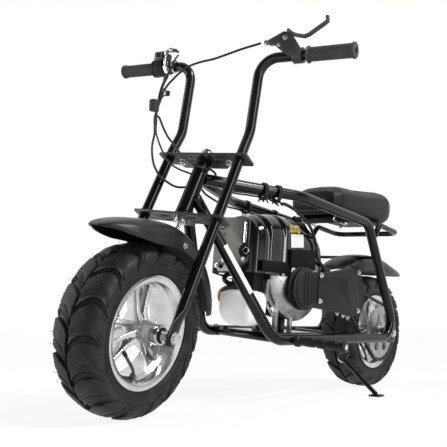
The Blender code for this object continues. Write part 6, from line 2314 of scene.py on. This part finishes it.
@dataclass
class Studio:
    """The white studio and the camera."""

    heading: float = math.radians(42.32)
    pitch: float = math.radians(11.08)
    roll: float = math.radians(-0.07)
    lens: float = 44.745
    offset: tuple[float, float, float] = (0.8512, -1.5639, -0.007)
    floor_tone: float = 0.93
    floor_glow: float = 0.88
    plain_level: float = 0.4
    main_level: float = 2.1

    def build(self) -> None:
        """Builds the floor, the sky, the lamps and the camera."""
        self.floor()
        self.sky()
        self.lamps()
        self.camera()
        bpy.context.scene.view_settings.view_transform = "Standard"

    @staticmethod
    def seen(tree: bpy.types.NodeTree) -> bpy.types.NodeSocket:
        """Adds the test for rays that show the background.

        Args:
            tree: the nodes that it is added to.

        Returns:
            1 for camera, glossy and transmission rays, and 0 for the rest.
        """
        path = tree.nodes.new("ShaderNodeLightPath")
        value = path.outputs["Is Camera Ray"]
        for name in ("Is Glossy Ray", "Is Transmission Ray"):
            more = tree.nodes.new("ShaderNodeMath")
            more.operation = "MAXIMUM"
            tree.links.new(value, more.inputs[0])
            tree.links.new(path.outputs[name], more.inputs[1])
            value = more.outputs[0]
        return value

    def floor(self) -> None:
        """Lays the pale floor, which keeps the bike's shadow."""
        Bench.clear()
        bpy.ops.mesh.primitive_plane_add(size=60.0, location=(0, 0, -0.0002))
        floor = bpy.context.object
        floor.name = "floor"
        material = bpy.data.materials.new("floor_white")
        material.use_nodes = True
        tree = material.node_tree
        cover = tree.nodes["Principled BSDF"]
        cover.inputs["Base Color"].default_value = (*[self.floor_tone] * 3, 1.0)
        cover.inputs["Roughness"].default_value = 0.9
        cover.inputs["Specular IOR Level"].default_value = 0.0
        glow = tree.nodes.new("ShaderNodeEmission")
        glow.inputs["Strength"].default_value = 1.0
        mix = tree.nodes.new("ShaderNodeMixShader")
        share = tree.nodes.new("ShaderNodeMath")
        share.operation = "MULTIPLY"
        share.inputs[1].default_value = self.floor_glow
        tree.links.new(self.seen(tree), share.inputs[0])
        tree.links.new(share.outputs[0], mix.inputs[0])
        tree.links.new(cover.outputs[0], mix.inputs[1])
        tree.links.new(glow.outputs[0], mix.inputs[2])
        tree.links.new(mix.outputs[0], tree.nodes["Material Output"].inputs["Surface"])
        floor.data.materials.append(material)

    def sky(self) -> None:
        """Sets the plain level of light and the white that surrounds the bike."""
        world = bpy.data.worlds.new("studio")
        bpy.context.scene.world = world
        world.use_nodes = True
        tree = world.node_tree
        plain = tree.nodes["Background"]
        plain.inputs["Color"].default_value = (1.0, 1.0, 1.0, 1.0)
        plain.inputs["Strength"].default_value = self.plain_level
        white = tree.nodes.new("ShaderNodeBackground")
        white.inputs["Color"].default_value = (1.0, 1.0, 1.0, 1.0)
        ahead = tree.nodes.new("ShaderNodeVectorMath")
        ahead.operation = "DOT_PRODUCT"
        ahead.inputs[1].default_value = (-math.sin(self.heading), math.cos(self.heading), 0.12)
        tree.links.new(tree.nodes.new("ShaderNodeTexCoord").outputs["Generated"], ahead.inputs[0])
        room = tree.nodes.new("ShaderNodeMapRange")
        for index, number in enumerate((-0.2, 0.32, 0.07, 1.0)):
            room.inputs[index + 1].default_value = number
        tree.links.new(ahead.outputs["Value"], room.inputs[0])
        whole = tree.nodes.new("ShaderNodeMath")
        whole.operation = "MAXIMUM"
        tree.links.new(room.outputs[0], whole.inputs[0])
        tree.links.new(tree.nodes.new("ShaderNodeLightPath").outputs["Is Camera Ray"], whole.inputs[1])
        tree.links.new(whole.outputs[0], white.inputs["Strength"])
        mix = tree.nodes.new("ShaderNodeMixShader")
        tree.links.new(self.seen(tree), mix.inputs[0])
        tree.links.new(plain.outputs[0], mix.inputs[1])
        tree.links.new(white.outputs[0], mix.inputs[2])
        tree.links.new(mix.outputs[0], tree.nodes["World Output"].inputs["Surface"])

    def lamps(self) -> None:
        """Hangs the main light high on the left and two tall panels for the lines in the paint."""
        sun = bpy.data.lights.new("main_light", "SUN")
        sun.energy = self.main_level
        sun.angle = math.radians(12)
        lamp = bpy.data.objects.new("main_light", sun)
        lamp.rotation_euler = Vector((0.8, 0.18, 0.82)).to_track_quat("Z", "Y").to_euler()
        bpy.context.scene.collection.objects.link(lamp)
        for name, place, size, power in (("left_panel", (2.3, -0.2, 1.0), (0.5, 2.4), 40.0),
                                         ("front_panel", (-1.9, -1.9, 0.9), (0.55, 2.2), 26.0)):
            data = bpy.data.lights.new(name, "AREA")
            data.shape = "RECTANGLE"
            data.size, data.size_y = size
            data.energy = power
            panel = bpy.data.objects.new(name, data)
            panel.location = place
            aim = Vector(place) - Vector((0.0, 0.0, 0.35))
            panel.rotation_euler = aim.to_track_quat("Z", "Y").to_euler()
            bpy.context.scene.collection.objects.link(panel)

    def camera(self) -> None:
        """Sets the camera where the photograph was taken from."""
        data = bpy.data.cameras.new("camera")
        data.lens = self.lens
        data.sensor_width = 36.0
        camera = bpy.data.objects.new("camera", data)
        bpy.context.scene.collection.objects.link(camera)
        place = Vector(JOINTS["rear_wheel_spin"]["pos_m"]) + Vector(self.offset)
        forward = Vector((-math.sin(self.heading) * math.cos(self.pitch),
                          math.cos(self.heading) * math.cos(self.pitch), math.sin(self.pitch)))
        right = Vector((math.cos(self.heading), math.sin(self.heading), 0.0))
        up = right.cross(forward)
        turn = Matrix((right, up, -forward)).transposed()
        turn = turn @ Matrix.Rotation(self.roll, 3, "Z")
        camera.matrix_world = Matrix.Translation(place) @ turn.to_4x4()
        bpy.context.scene.camera = camera


def coats() -> list[CadCoat]:
    """Lists the solids that are shown as smooth copies, with their finishes.

    Returns:
        The copies, which are still to be built.
    """
    chassis = Body.CHASSIS
    return [
        CadCoat(chassis, TUBE_PAINT, ("engine_cradle", "frame_cross_rear", "dropout_left", "dropout_right",
                                      "seat_hoop", "stand_bracket"), 0.0005),
        CadCoat(chassis, MOULDED_BLACK, ("seat_pan", "chain_case", "recoil_starter", "air_filter_box",
                                         "foot_peg_left", "foot_peg_right"), 0.0008),
        CadCoat(Body.STEER, LEVER_METAL, ("brake_lever_clamp", "brake_lever"), 0.0006),
        CadCoat(Body.STEER, MOULDED_BLACK, ("throttle_housing",), 0.0008),
        CadCoat(Body.STEER, TUBE_PAINT, ("fork_leg_left", "fork_leg_right"), 0.0, 40.0),
        CadCoat(Body.STEER, ZINC, ("steering_stem", "front_axle"), 0.0003),
        CadCoat(Body.STAND, TUBE_PAINT, ("side_stand",), 0.0004),
        CadCoat(chassis, ZINC, ("rear_axle", "stand_bolt"), 0.0003),
        CadCoat(Body.REAR, ZINC, ("brake_disc",), 0.0003),
        CadCoat(Body.REAR, SPROCKET_STEEL, ("rear_sprocket",), 0.0003),
        CadCoat(chassis, CAST_DARK, ("engine_block",), 0.0012),
        CadCoat(chassis, ROUGH_ALLOY, ("clutch_housing", "carburettor", "brake_calliper"), 0.001),
        CadCoat(chassis, PANEL_GREY, ("muffler_guard",), 0.0006),
        CadCoat(chassis, CAP_BLACK, ("fuel_cap",), 0.0006),
    ]


def main() -> None:
    """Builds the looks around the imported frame, one sub-assembly after another."""
    logging.basicConfig(level=logging.INFO, format="%(message)s")
    loops = FrameLoops()
    builders = [
        Studio(), *coats(), loops, Steering(), Controls(), Cables(loops), Engine(), DriveChain(), Seat(),
        FRONT_GUARD, REAR_GUARD, RoadWheel("front", STANCE.front_axle, Body.FRONT),
        RoadWheel("rear", STANCE.rear_axle, Body.REAR), Trim(),
    ]
    for builder in builders:
        log.info("building %s", type(builder).__name__)
        builder.build()


if __name__ == "__main__":
    main()
